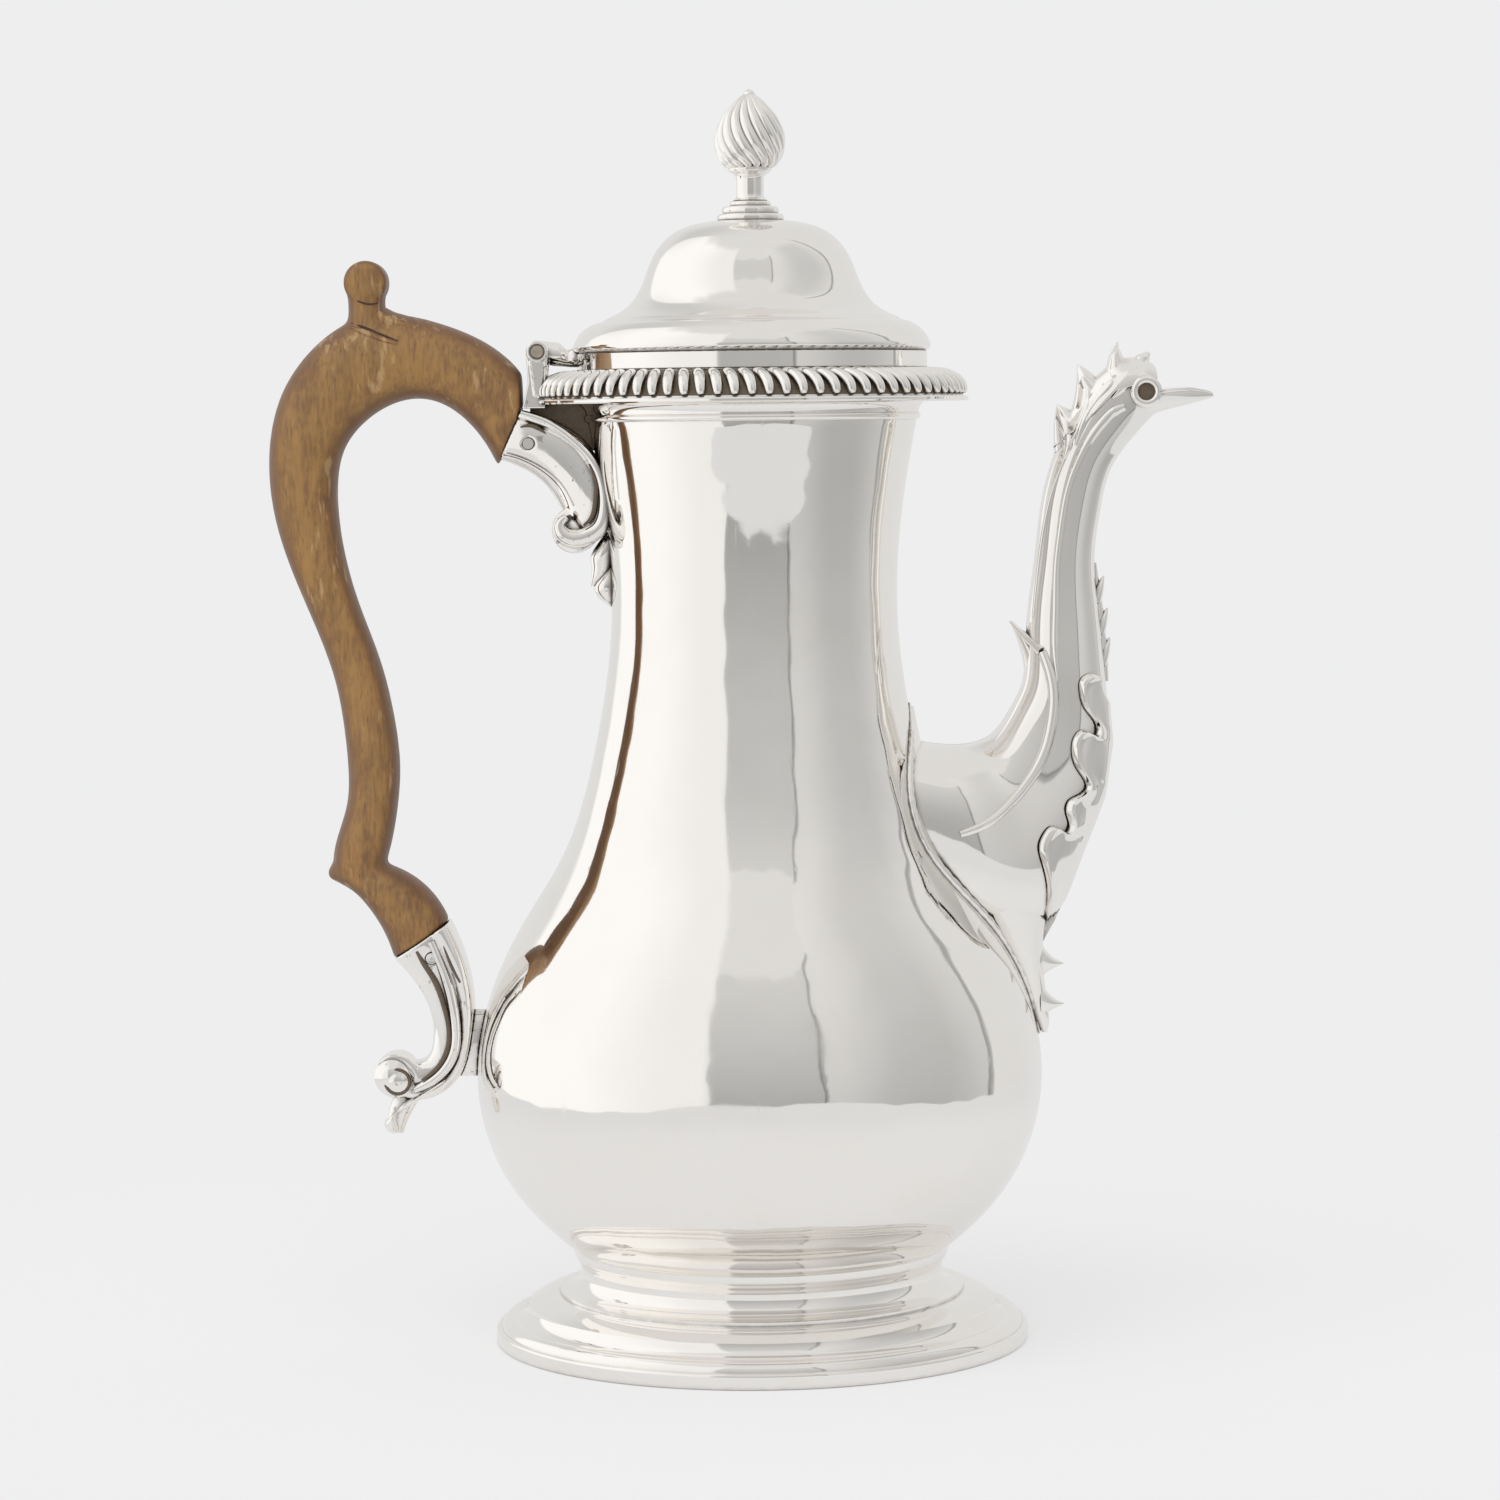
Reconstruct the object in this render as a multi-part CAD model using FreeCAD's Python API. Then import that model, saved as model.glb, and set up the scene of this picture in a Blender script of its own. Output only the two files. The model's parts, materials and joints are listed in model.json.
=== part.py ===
import FreeCAD, Part
import math
import os
from FreeCAD import Vector

# Silver coffee pot, in millimetres. The foot's centre on the table is the origin,
# +Z is up and +X points to the spout. Heights are named as rises above the piece below.

# Foot: a raised ring of sheet on an upright band
FOOT_BAND_R = 61.0
FOOT_BAND_HEIGHT = 3.6
FOOT_BAND_WALL = 2.4
FOOT_BAND_ROUND = 0.7
FOOT_HEIGHT = 21.5
FOOT_SHEET = 1.0
FOOT_TOP_R = 43.0
FOOT_NECK_R = 41.5
FOOT_STEP_R = 46.3
FOOT_SHOULDER_R = 53.5
FOOT_COVE_R = 56.0

# Body: a raised pear shape with an upright collar at the mouth
BODY_WALL = 0.8
BODY_SAG = 7.0
BELLY_R = 64.6
BELLY_RISE = 39.5
NECK_R = 32.6
NECK_RISE = 143.0
COLLAR_R = 37.2
COLLAR_RISE = 188.6
MOUTH_RISE = 200.0

# Neck moulding and gadroon border round the collar
MOULDING_HEIGHT = 4.1
MOULDING_RING_PROUD = 0.9
MOULDING_RING_R = COLLAR_R + MOULDING_RING_PROUD
MOULDING_RING_HEIGHT = 1.6
MOULDING_COVE_SPREAD = 2.2
MOULDING_COVE_R = COLLAR_R + MOULDING_COVE_SPREAD
BORDER_REACH = 11.8
BORDER_R = COLLAR_R + BORDER_REACH
BORDER_LIP = 1.0
BORDER_LEDGE = 3.8
BORDER_LEDGE_R = COLLAR_R + BORDER_LEDGE
BORDER_WALL = 1.8
GADROON_COUNT = 80
GADROON_DEPTH = 0.8
GADROON_SLANT_DEG = 4.0

# Lid: a spun dome on an upright band, with a bezel that drops into the mouth
LID_REST_GAP = 0.1
LID_SHEET = 0.8
LID_OVERHANG = 2.5
LID_BAND_R = COLLAR_R + LID_OVERHANG
LID_BAND_HEIGHT = 4.2
LID_BAND_WALL = 1.2
LID_FLANGE_PROUD = 0.7
LID_FLANGE_R = LID_BAND_R + LID_FLANGE_PROUD
LID_FLANGE_HEIGHT = 7.5
LID_STEP_R = 33.0
LID_DOME_R = 24.6
LID_DOME_HEIGHT = 22.3
BEZEL_GAP = 0.6
BEZEL_WALL = 0.8
BEZEL_DROP = 4.0

# Finial: a stepped pedestal, a wrythen bud and the nut inside the dome
PEDESTAL_R = 7.6
PEDESTAL_HEIGHT = 12.2
STEM_R = 3.1
BUD_R = 8.1
BUD_HEIGHT = 17.4
BUD_FLUTES = 18
BUD_FLUTE_DEPTH = 0.75
BUD_TWIST_DEG = 65.0
STUD_R = 1.5
NUT_R = 4.5
NUT_HEIGHT = 2.4

# Hinge: a stand-away pin between two fixed knuckles and one on the lid
HINGE_REACH = 8.7
HINGE_RISE = 4.6
KNUCKLE_R = 2.5
HINGE_PIN_R = 1.6
HINGE_PIN_HEAD = 0.5
HINGE_RUNNING_FIT = 0.05
LID_KNUCKLE_WIDTH = 5.6
KNUCKLE_SIDE_GAP = 0.3
HINGE_WIDTH = 15.0
BRACKET_WIDTH = 5.4
BRACKET_SEAT = 0.8
BRACKET_WOOD_GAP = 0.3
TONGUE_PROUD = 0.5
WEB_THICKNESS = 4.0

# Upper handle socket, drawn from where its axis meets the neck
UPPER_SOCKET_RISE = 174.5
UPPER_SOCKET_THICKNESS = 14.4
UPPER_VOLUTE_R = 5.3
DROP_R = 3.4
DROP_LENGTH = 13.5
SOCKET_RIM_PROUD = 0.5
SOCKET_RIM_LIP = 0.2
UPPER_RIM_SHARE = 0.2

# Lower handle socket, drawn from where its strut meets the belly
LOWER_SOCKET_RISE = 47.1
LOWER_SOCKET_THICKNESS = 14.4
LOWER_VOLUTE_R = 5.0
LOWER_BOSS_R = 2.75
LOWER_RIM_SHARE = 0.36
STRUT_HEIGHT = 15.4
STRUT_THICKNESS = 9.0

# Wooden handle with a tenon in each socket, held by a pin through each
HANDLE_THICKNESS = 15.0
HANDLE_SPAN_X = 22.3
HANDLE_SPAN_Z = 114.7
CURL_R = 5.0
CURL_WIDTH = 12.0
TENON_WIDTH = 8.4
TENON_THICKNESS = 10.0
TENON_LENGTH = 9.0
TENON_GAP = 0.1
HANDLE_PIN_R = 1.25
HANDLE_PIN_PROUD = 0.2

# Spout: a swan-neck tube cast in two halves, drawn from where its axis meets the body
SPOUT_RISE = 95.0
SPOUT_WALL = 1.3
RIDGE_SHARE = 0.4
HEAD_HALF_WIDTH = 6.0
EYE_R = 3.2
EYE_PROUD = 0.9
RIDGE_BEAD_WIDTH = 1.7
RIDGE_BEAD_PROUD = 0.6
CUP_RIM_WIDTH = 2.8
CUP_RIM_PROUD = 0.9
LEAF_THICKNESS = 0.9
ROOT_THICKNESS = 1.2
ROOT_HALF_WIDTH = 21.5
ROOT_DROP_THICKNESS = 4.0
STRAINER_HOLE_R = 1.6
STRAINER_PITCH = 6.0

MOUTH_Z = FOOT_HEIGHT + MOUTH_RISE
COLLAR_Z = FOOT_HEIGHT + COLLAR_RISE
AXIS_BASE = Vector(0, 0, 0)
UP = Vector(0, 0, 1)
ACROSS = Vector(0, 1, 0)
BIG = 400.0
OVAL_POINTS = 12


def at(x, z, y=0.0):
    return Vector(x, y, z)


def moved(origin, x, z):
    return Vector(origin.x + x, 0, origin.z + z)


def line(a, b):
    return Part.makeLine(a, b)


def arc(a, middle, b):
    return Part.Arc(a, middle, b).toShape()


def spline(points):
    """A smooth curve through the points."""
    curve = Part.BSplineCurve()
    curve.interpolate(points)
    return curve


def path(points):
    """Straight edges through the points, left open."""
    return [line(a, b) for a, b in zip(points, points[1:])]


def spans(curve, count=6):
    """A curve as a row of shorter edges."""
    first, last = curve.FirstParameter, curve.LastParameter
    edges = []
    for i in range(count):
        piece = curve.copy()
        piece.segment(first + (last - first) * i / count, first + (last - first) * (i + 1) / count)
        edges.append(piece.toShape())
    return edges


def turned(edges):
    """A solid of revolution about the pot's axis, its seam turned away from the spout and the handle."""
    face = Part.Face(Part.Wire(Part.__sortEdges__(edges)))
    solid = face.revolve(AXIS_BASE, UP, 360)
    solid.rotate(AXIS_BASE, UP, 90)
    return solid


def ring(inner_r, outer_r, low, high):
    tube = Part.makeCylinder(outer_r, high - low, at(0, low), UP)
    return tube.cut(Part.makeCylinder(inner_r, high - low, at(0, low), UP))


def plate(points, thickness):
    """A flat outline in the XZ plane, thickened evenly to both sides of it."""
    loop = Part.Wire(path(points + points[:1]))
    face = Part.Face(loop)
    face.translate(ACROSS * (-thickness / 2))
    return face.extrude(ACROSS * thickness)


def rod(centre, radius, width):
    """A cylinder lying across the pot, centred on the XZ plane."""
    return Part.makeCylinder(radius, width, centre - ACROSS * (width / 2), ACROSS)


def rod_x(start, radius):
    """A long cylinder from a point towards the spout."""
    return Part.makeCylinder(radius, BIG, start, Vector(1, 0, 0))


def oval_curve(a, b, half_width, squareness=2.4):
    """A closed section from a to b in the XZ plane, half_width to each side of it."""
    centre = (a + b) * 0.5
    reach = (b - a) * 0.5
    points = []
    for step in range(OVAL_POINTS):
        turn = 2 * math.pi * step / OVAL_POINTS
        c, s = math.cos(turn), math.sin(turn)
        along = math.copysign(abs(c) ** (2 / squareness), c)
        side = math.copysign(abs(s) ** (2 / squareness), s)
        points.append(centre + reach * along + ACROSS * (half_width * side))
    curve = Part.BSplineCurve()
    curve.interpolate(Points=points, PeriodicFlag=True, Parameters=[float(i) for i in range(OVAL_POINTS + 1)])
    return curve


def oval(a, b, half_width, squareness=2.4):
    return Part.Wire([oval_curve(a, b, half_width, squareness).toShape()])


def oval_loft(stations, squareness=2.4):
    """A smooth solid over a row of sections, with each pole of the sections led along the row."""
    sections = [oval_curve(a, b, half, squareness) for a, b, half in stations]
    middles = [(a + b) * 0.5 for a, b, half in stations]
    places = [0.0]
    for p, q in zip(middles, middles[1:]):
        places.append(places[-1] + (q - p).Length)
    guides = []
    for i in range(1, sections[0].NbPoles + 1):
        guide = Part.BSplineCurve()
        guide.interpolate(Points=[section.getPole(i) for section in sections], Parameters=places)
        guides.append(guide)
    first = guides[0]
    poles = [[guide.getPole(i) for guide in guides] for i in range(1, first.NbPoles + 1)]
    side = Part.BSplineSurface()
    side.buildFromPolesMultsKnots(
        poles,
        first.getMultiplicities(),
        sections[0].getMultiplicities(),
        first.getKnots(),
        sections[0].getKnots(),
        False,
        True,
        first.Degree,
        sections[0].Degree,
    )
    ends = [Part.Face(Part.Wire([section.toShape()])) for section in (sections[0], sections[-1])]
    shell = Part.makeShell([side.toShape()] + ends)
    shell.sewShape()
    solid = Part.Solid(shell)
    if solid.Volume < 0:
        solid.reverse()
    return solid


def ridged(back, front, half_width, shrink=0.0):
    """A section of two arcs, back and front, that meet in a ridge on each side."""
    along = (front - back).normalize()
    back = back + along * shrink
    front = front - along * shrink
    ridge = back + (front - back) * RIDGE_SHARE
    side = ACROSS * (half_width - shrink)
    return Part.Wire([arc(ridge - side, front, ridge + side), arc(ridge + side, back, ridge - side)])


def lobed(count, radius, depth, z, turn_deg):
    """A level ring of outward arcs that meet in valleys."""
    def polar(r, step):
        angle = math.radians(turn_deg) + 2 * math.pi * step / count
        return at(r * math.cos(angle), z, r * math.sin(angle))

    edges = []
    for i in range(count):
        edges.append(arc(polar(radius - depth, i), polar(radius, i + 0.5), polar(radius - depth, i + 1)))
    return Part.Wire(edges)


# Body


def body_curve():
    """The outer side from the foot's top to the collar."""
    points = [
        (FOOT_TOP_R, 0.0),
        (FOOT_TOP_R + 0.46 * (BELLY_R - FOOT_TOP_R), 0.235 * BELLY_RISE),
        (FOOT_TOP_R + 0.82 * (BELLY_R - FOOT_TOP_R), 0.54 * BELLY_RISE),
        (BELLY_R, BELLY_RISE),
    ]
    neck_drop = NECK_RISE - BELLY_RISE
    for share, height in ((0.93, 0.15), (0.665, 0.335), (0.365, 0.49), (0.13, 0.72)):
        points.append((NECK_R + share * (BELLY_R - NECK_R), BELLY_RISE + height * neck_drop))
    points.append((NECK_R, NECK_RISE))
    points.append((NECK_R + 0.25 * (COLLAR_R - NECK_R), NECK_RISE + 0.55 * (COLLAR_RISE - NECK_RISE)))
    points.append((COLLAR_R, COLLAR_RISE))
    return spline([at(r, FOOT_HEIGHT + rise) for r, rise in points])


def inward(curve, distance, count=22):
    """The curve drawn again at a distance to its left, which is the inside of the pot."""
    points = []
    for i in range(count):
        u = curve.FirstParameter + (curve.LastParameter - curve.FirstParameter) * i / (count - 1)
        along = curve.tangent(u)[0]
        points.append(curve.value(u) + Vector(-along.z, 0, along.x) * distance)
    if curve.EndPoint.x < 1e-6:
        points[-1].x = 0.0
    return spline(points)


def sagged(low, bottom):
    """The arc of the body's bottom from the axis to where its side starts."""
    return arc(bottom, at(low.x * 0.5, bottom.z + (low.z - bottom.z) * 0.25), low)


def body_envelope(grow=0.0):
    """The body's outer form, filled to the axis and thickened by grow."""
    side = inward(body_curve(), -grow) if grow else body_curve()
    low = side.StartPoint
    high = side.EndPoint
    bottom = at(0, FOOT_HEIGHT - BODY_SAG - grow)
    edges = [sagged(low, bottom)] + spans(side)
    edges += path([high, at(high.x, MOUTH_Z), at(0, MOUTH_Z), bottom])
    return turned(edges)


def body_radius(z):
    """The radius of the body's outer side at a height."""
    side = body_curve().toShape()
    level = line(at(0, z), at(2 * BELLY_R, z))
    return side.distToShape(level)[1][0][0].x


def strainer_holes():
    """Drills through the body behind the spout: one in the middle and six round it."""
    z = FOOT_HEIGHT + SPOUT_RISE
    spots = [(0.0, 0.0)]
    for i in range(6):
        turn = math.radians(60 * i)
        spots.append((STRAINER_PITCH * math.cos(turn), STRAINER_PITCH * math.sin(turn)))
    drills = [rod_x(Vector(0, y, z + dz), STRAINER_HOLE_R) for y, dz in spots]
    return Part.makeCompound(drills)


def make_body():
    """The sheet between the outer side and the same curve a wall further in, with the strainer drilled."""
    side = body_curve()
    inner = inward(side, BODY_WALL)
    outer_bottom = at(0, FOOT_HEIGHT - BODY_SAG)
    inner_bottom = outer_bottom + UP * BODY_WALL
    mouth_r = COLLAR_R - BODY_WALL
    edges = [sagged(side.StartPoint, outer_bottom)] + spans(side)
    edges += path([side.EndPoint, at(COLLAR_R, MOUTH_Z), at(mouth_r, MOUTH_Z), inner.EndPoint])
    edges += spans(inner) + [sagged(inner.StartPoint, inner_bottom), line(inner_bottom, outer_bottom)]
    return turned(edges).cut(strainer_holes())


# Foot


def make_foot():
    top = FOOT_HEIGHT
    step_z = 0.56 * top
    shoulder_z = 0.41 * top
    cove_z = FOOT_BAND_HEIGHT + 2.0
    edge_r = FOOT_BAND_R - FOOT_BAND_ROUND - 0.5
    outer = [
        line(at(FOOT_TOP_R, top + 2), at(FOOT_TOP_R, top)),
        arc(at(FOOT_TOP_R, top), at(FOOT_TOP_R - 0.2, 0.93 * top), at(FOOT_NECK_R + 0.5, 0.86 * top)),
        arc(at(FOOT_NECK_R + 0.5, 0.86 * top), at(FOOT_NECK_R, 0.73 * top), at(FOOT_STEP_R, step_z)),
        line(at(FOOT_STEP_R, step_z), at(FOOT_STEP_R, step_z - 0.8)),
        arc(
            at(FOOT_STEP_R, step_z - 0.8),
            at(0.45 * FOOT_STEP_R + 0.55 * FOOT_SHOULDER_R, shoulder_z + 1.7),
            at(FOOT_SHOULDER_R, shoulder_z),
        ),
        arc(
            at(FOOT_SHOULDER_R, shoulder_z),
            at(0.7 * FOOT_SHOULDER_R + 0.3 * FOOT_COVE_R, 0.6 * cove_z + 0.4 * shoulder_z),
            at(FOOT_COVE_R, cove_z),
        ),
        arc(at(FOOT_COVE_R, cove_z), at(edge_r - 0.9, cove_z - 0.4), at(edge_r, FOOT_BAND_HEIGHT)),
    ]
    seat_r = FOOT_BAND_R - FOOT_BAND_WALL
    inner = path(
        [
            at(edge_r, FOOT_BAND_HEIGHT),
            at(seat_r, FOOT_BAND_HEIGHT),
            at(FOOT_COVE_R - FOOT_SHEET, cove_z - FOOT_SHEET),
            at(FOOT_SHOULDER_R - FOOT_SHEET, shoulder_z - FOOT_SHEET),
            at(FOOT_STEP_R - FOOT_SHEET, step_z - FOOT_SHEET),
            at(FOOT_NECK_R - FOOT_SHEET, 0.7 * top),
            at(FOOT_TOP_R - FOOT_SHEET, top + 2),
            at(FOOT_TOP_R, top + 2),
        ]
    )
    return turned(outer + inner).cut(body_envelope())


def make_foot_band():
    band = ring(FOOT_BAND_R - FOOT_BAND_WALL, FOOT_BAND_R, 0, FOOT_BAND_HEIGHT)
    edges = [e for e in band.Edges if abs(e.BoundBox.XMax - FOOT_BAND_R) < 0.01 and e.BoundBox.ZMin > 1]
    top = [e for e in edges if e.BoundBox.ZLength < 0.01]
    return band.makeFillet(FOOT_BAND_ROUND, top)


# Rim


def make_neck_moulding():
    low = COLLAR_Z
    ring_top = low + MOULDING_RING_HEIGHT
    high = low + MOULDING_HEIGHT
    edges = path([at(COLLAR_R, high), at(COLLAR_R, low)])
    cove_start = at(COLLAR_R + 0.5, ring_top)
    edges.append(arc(at(COLLAR_R, low), at(MOULDING_RING_R, (low + ring_top) / 2), cove_start))
    edges.append(
        arc(
            cove_start,
            at(COLLAR_R + 0.35 * (MOULDING_COVE_R - COLLAR_R) + 0.2, 0.4 * ring_top + 0.6 * high),
            at(MOULDING_COVE_R, high),
        )
    )
    edges.append(line(at(MOULDING_COVE_R, high), at(COLLAR_R, high)))
    return turned(edges)


def make_gadroon_border():
    """A lip with a slope of slanted lobes that swell towards its outer edge."""
    low = COLLAR_Z + MOULDING_HEIGHT
    lip_top = low + BORDER_LIP
    rise = MOUTH_Z - lip_top
    run = BORDER_R - 0.5 - BORDER_LEDGE_R
    levels = []
    for share, height, depth in ((0.0, 1.0, 0.3), (0.4, 0.78, 0.8), (0.78, 0.44, 1.0), (1.0, 0.0, 0.6)):
        radius = BORDER_LEDGE_R + share * run
        turn = share * GADROON_SLANT_DEG
        levels.append(lobed(GADROON_COUNT, radius, depth * GADROON_DEPTH, lip_top + height * rise, turn))
    slope = Part.makeLoft(levels, True)
    lip = Part.makeCylinder(BORDER_R, BORDER_LIP, at(0, low), UP)
    bore = Part.makeCylinder(COLLAR_R, BIG, at(0, low - 1), UP)
    inner_r = MOULDING_COVE_R + 0.4
    outer_r = BORDER_R - 1.2
    hollow_top = MOUTH_Z - BORDER_WALL
    hollow = [at(inner_r, low), at(outer_r, low), at(inner_r + 1.5, hollow_top), at(inner_r, hollow_top)]
    return slope.fuse(lip).cut(bore).cut(turned(path(hollow + hollow[:1])))


# Lid

LID_Z = MOUTH_Z + LID_REST_GAP
FLANGE_Z = LID_Z + LID_BAND_HEIGHT
STEP_Z = FLANGE_Z + LID_FLANGE_HEIGHT
CROWN_Z = STEP_Z + LID_DOME_HEIGHT


def dome_curve():
    """The ogee from the step line to the crown, almost flat at the axis."""
    points = [at(LID_STEP_R, STEP_Z)]
    points.append(at(0.6 * LID_DOME_R + 0.4 * LID_STEP_R, STEP_Z + 0.13 * LID_DOME_HEIGHT))
    for share, height in ((1.0, 0.36), (0.9, 0.63), (0.7, 0.87), (0.42, 0.97), (0.12, 0.998)):
        points.append(at(share * LID_DOME_R, STEP_Z + height * LID_DOME_HEIGHT))
    points.append(at(0, CROWN_Z))
    return spline(points)


def dome_envelope():
    edges = [dome_curve().toShape()]
    flange_top = at(LID_STEP_R + 0.9, STEP_Z - 0.7)
    flange_edge = at(LID_FLANGE_R, FLANGE_Z + 1.6)
    swell = at(0.3 * LID_STEP_R + 0.7 * LID_FLANGE_R, STEP_Z - 2.6)
    edges.append(line(at(LID_STEP_R, STEP_Z), flange_top))
    edges.append(arc(flange_top, swell, flange_edge))
    edges.append(arc(flange_edge, at(LID_FLANGE_R + 0.1, FLANGE_Z + 0.8), at(LID_BAND_R, FLANGE_Z)))
    edges += path([at(LID_BAND_R, FLANGE_Z), at(0, FLANGE_Z), at(0, CROWN_Z)])
    return turned(edges)


def dome_hollow():
    """The space inside the dome and its flange."""
    inner = inward(dome_curve(), LID_SHEET)
    start = inner.StartPoint
    flange_r = LID_BAND_R - LID_BAND_WALL
    bulge = at(0.4 * start.x + 0.6 * flange_r, FLANGE_Z + 0.72 * (start.z - FLANGE_Z))
    edges = [inner.toShape(), arc(start, bulge, at(flange_r, FLANGE_Z))]
    edges += path([at(flange_r, FLANGE_Z), at(0, FLANGE_Z), inner.EndPoint])
    return turned(edges)


def make_lid_dome():
    """The dome and flange in one sheet, open below, with the hole for the finial's stud."""
    hole = Part.makeCylinder(STUD_R, BIG, at(0, FLANGE_Z), UP)
    return dome_envelope().cut(dome_hollow()).cut(hole)


def make_lid_band():
    return ring(LID_BAND_R - LID_BAND_WALL, LID_BAND_R, LID_Z, FLANGE_Z)


def make_lid_bezel():
    """A ring that hangs from the band's inner side into the mouth."""
    outer_r = COLLAR_R - BODY_WALL - BEZEL_GAP
    low = MOUTH_Z - BEZEL_DROP
    skirt = ring(outer_r - BEZEL_WALL, outer_r, low, FLANGE_Z)
    shelf = ring(outer_r - BEZEL_WALL, LID_BAND_R - LID_BAND_WALL, LID_Z + 1.5, LID_Z + 2.5)
    return skirt.fuse(shelf).removeSplitter()


# Finial


def make_finial_pedestal():
    """Three steps and a waisted stem with a collar, and the stud through the dome."""
    low = CROWN_Z - 0.4
    top = low + PEDESTAL_HEIGHT
    mid_r = 0.5 * (PEDESTAL_R + STEM_R)
    collar_r = 0.6 * PEDESTAL_R
    edges = [
        line(at(0, low - 2), at(PEDESTAL_R, low - 2)),
        line(at(PEDESTAL_R, low - 2), at(PEDESTAL_R, low + 0.9)),
        arc(at(PEDESTAL_R, low + 0.9), at(PEDESTAL_R - 0.4, low + 1.6), at(PEDESTAL_R - 1.2, low + 1.9)),
        arc(at(PEDESTAL_R - 1.2, low + 1.9), at(PEDESTAL_R - 0.9, low + 2.9), at(PEDESTAL_R - 1.9, low + 3.7)),
        line(at(PEDESTAL_R - 1.9, low + 3.7), at(mid_r, low + 3.8)),
        arc(at(mid_r, low + 3.8), at(STEM_R + 0.4, low + 4.8), at(STEM_R, low + 6.2)),
        line(at(STEM_R, low + 6.2), at(STEM_R, top - 3.0)),
        arc(at(STEM_R, top - 3.0), at(STEM_R + 0.3, top - 2.1), at(collar_r, top - 1.6)),
        arc(at(collar_r, top - 1.6), at(collar_r + 0.3, top - 0.8), at(collar_r, top)),
        line(at(collar_r, top), at(0, top)),
        line(at(0, top), at(0, low - 2)),
    ]
    stud_low = CROWN_Z - LID_SHEET - NUT_HEIGHT - 1.0
    stud = Part.makeCylinder(STUD_R, CROWN_Z - stud_low + 1, at(0, stud_low), UP)
    return turned(edges).cut(dome_envelope()).fuse(stud).removeSplitter()


def make_finial_bud():
    """A bud of flutes that wind about its axis, closed by a small button at the tip."""
    low = CROWN_Z - 0.4 + PEDESTAL_HEIGHT
    levels = []
    for share, height in ((0.58, 0.0), (0.9, 0.12), (1.0, 0.3), (0.9, 0.54), (0.66, 0.75), (0.28, 0.92)):
        radius = share * BUD_R
        turn = -BUD_TWIST_DEG * height
        levels.append(lobed(BUD_FLUTES, radius, share * BUD_FLUTE_DEPTH, low + height * BUD_HEIGHT, turn))
    bud = Part.makeLoft(levels, True)
    button_r = 0.1 * BUD_HEIGHT
    button = Part.makeSphere(button_r, at(0, low + BUD_HEIGHT - button_r))
    return bud.fuse(button)


def make_finial_nut():
    """A hexagonal nut that draws the finial down, its top shaped to the dome's inside."""
    low = CROWN_Z - LID_SHEET - NUT_HEIGHT
    corners = []
    for i in range(6):
        turn = math.radians(60 * i)
        corners.append(at(NUT_R * math.cos(turn), low, NUT_R * math.sin(turn)))
    block = Part.Face(Part.Wire(path(corners + corners[:1]))).extrude(UP * (CROWN_Z - low))
    stud_hole = Part.makeCylinder(STUD_R, BIG, at(0, low - 1), UP)
    return block.common(dome_hollow()).cut(stud_hole)


# Hinge

HINGE_X = -(LID_BAND_R + HINGE_REACH)
HINGE_Z = MOUTH_Z + HINGE_RISE
HINGE_AT = at(HINGE_X, HINGE_Z)


def make_lid_hinge_arm():
    """The middle knuckle and the arm that carries it from the lid's band."""
    low = LID_Z + 0.9
    high = HINGE_Z + KNUCKLE_R
    end = -(LID_BAND_R - LID_BAND_WALL)
    outline = [at(HINGE_X, high), at(HINGE_X, low + 1.2), at(HINGE_X + 1.6, low), at(end, low), at(end, high)]
    arm = plate(outline, LID_KNUCKLE_WIDTH)
    knuckle = rod(HINGE_AT, KNUCKLE_R, LID_KNUCKLE_WIDTH)
    spread = Part.makeCylinder(LID_BAND_R, BIG, at(0, 0), UP)
    arm = arm.fuse(knuckle).cut(spread).cut(dome_envelope())
    return arm.cut(rod(HINGE_AT, HINGE_PIN_R + HINGE_RUNNING_FIT, HINGE_WIDTH)).removeSplitter()


def bracket_outline():
    """The side view of the standing bracket: a shaped stem under the knuckle."""
    half = BRACKET_WIDTH / 2
    low = COLLAR_Z + MOULDING_HEIGHT - BRACKET_SEAT
    drop = HINGE_Z - low
    return [
        at(HINGE_X - KNUCKLE_R, HINGE_Z),
        at(HINGE_X - 0.8 * half, HINGE_Z - 0.55 * drop),
        at(HINGE_X - 1.3 * half, low),
        at(HINGE_X + 0.6 * half, low),
        at(HINGE_X + 0.7 * half, HINGE_Z - 0.5 * drop),
        at(HINGE_X + KNUCKLE_R, HINGE_Z),
    ]


def bracket_tongue():
    """The tapered tongue in relief on both sides of the bracket, below its knuckles."""
    corners = [moved(HINGE_AT, x, z) for x, z in ((-1.5, -2.2), (1.6, -2.2), (0.8, -9.8), (-0.7, -9.8))]
    return plate(corners, HINGE_WIDTH + 2 * TONGUE_PROUD)


def make_hinge_bracket():
    """Two fixed knuckles on one stem, with a slot for the lid's knuckle between them."""
    block = plate(bracket_outline(), HINGE_WIDTH).fuse(rod(HINGE_AT, KNUCKLE_R, HINGE_WIDTH))
    block = block.fuse(bracket_tongue())
    slot_width = LID_KNUCKLE_WIDTH + 2 * KNUCKLE_SIDE_GAP
    slot_low = MOUTH_Z
    corner = Vector(HINGE_X - 2 * KNUCKLE_R, -slot_width / 2, slot_low)
    slot = Part.makeBox(4 * KNUCKLE_R, slot_width, 4 * KNUCKLE_R, corner)
    return block.cut(slot).cut(rod(HINGE_AT, HINGE_PIN_R, 2 * HINGE_WIDTH)).removeSplitter()


def make_hinge_pin():
    return rod(HINGE_AT, HINGE_PIN_R, HINGE_WIDTH + 2 * HINGE_PIN_HEAD)


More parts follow.
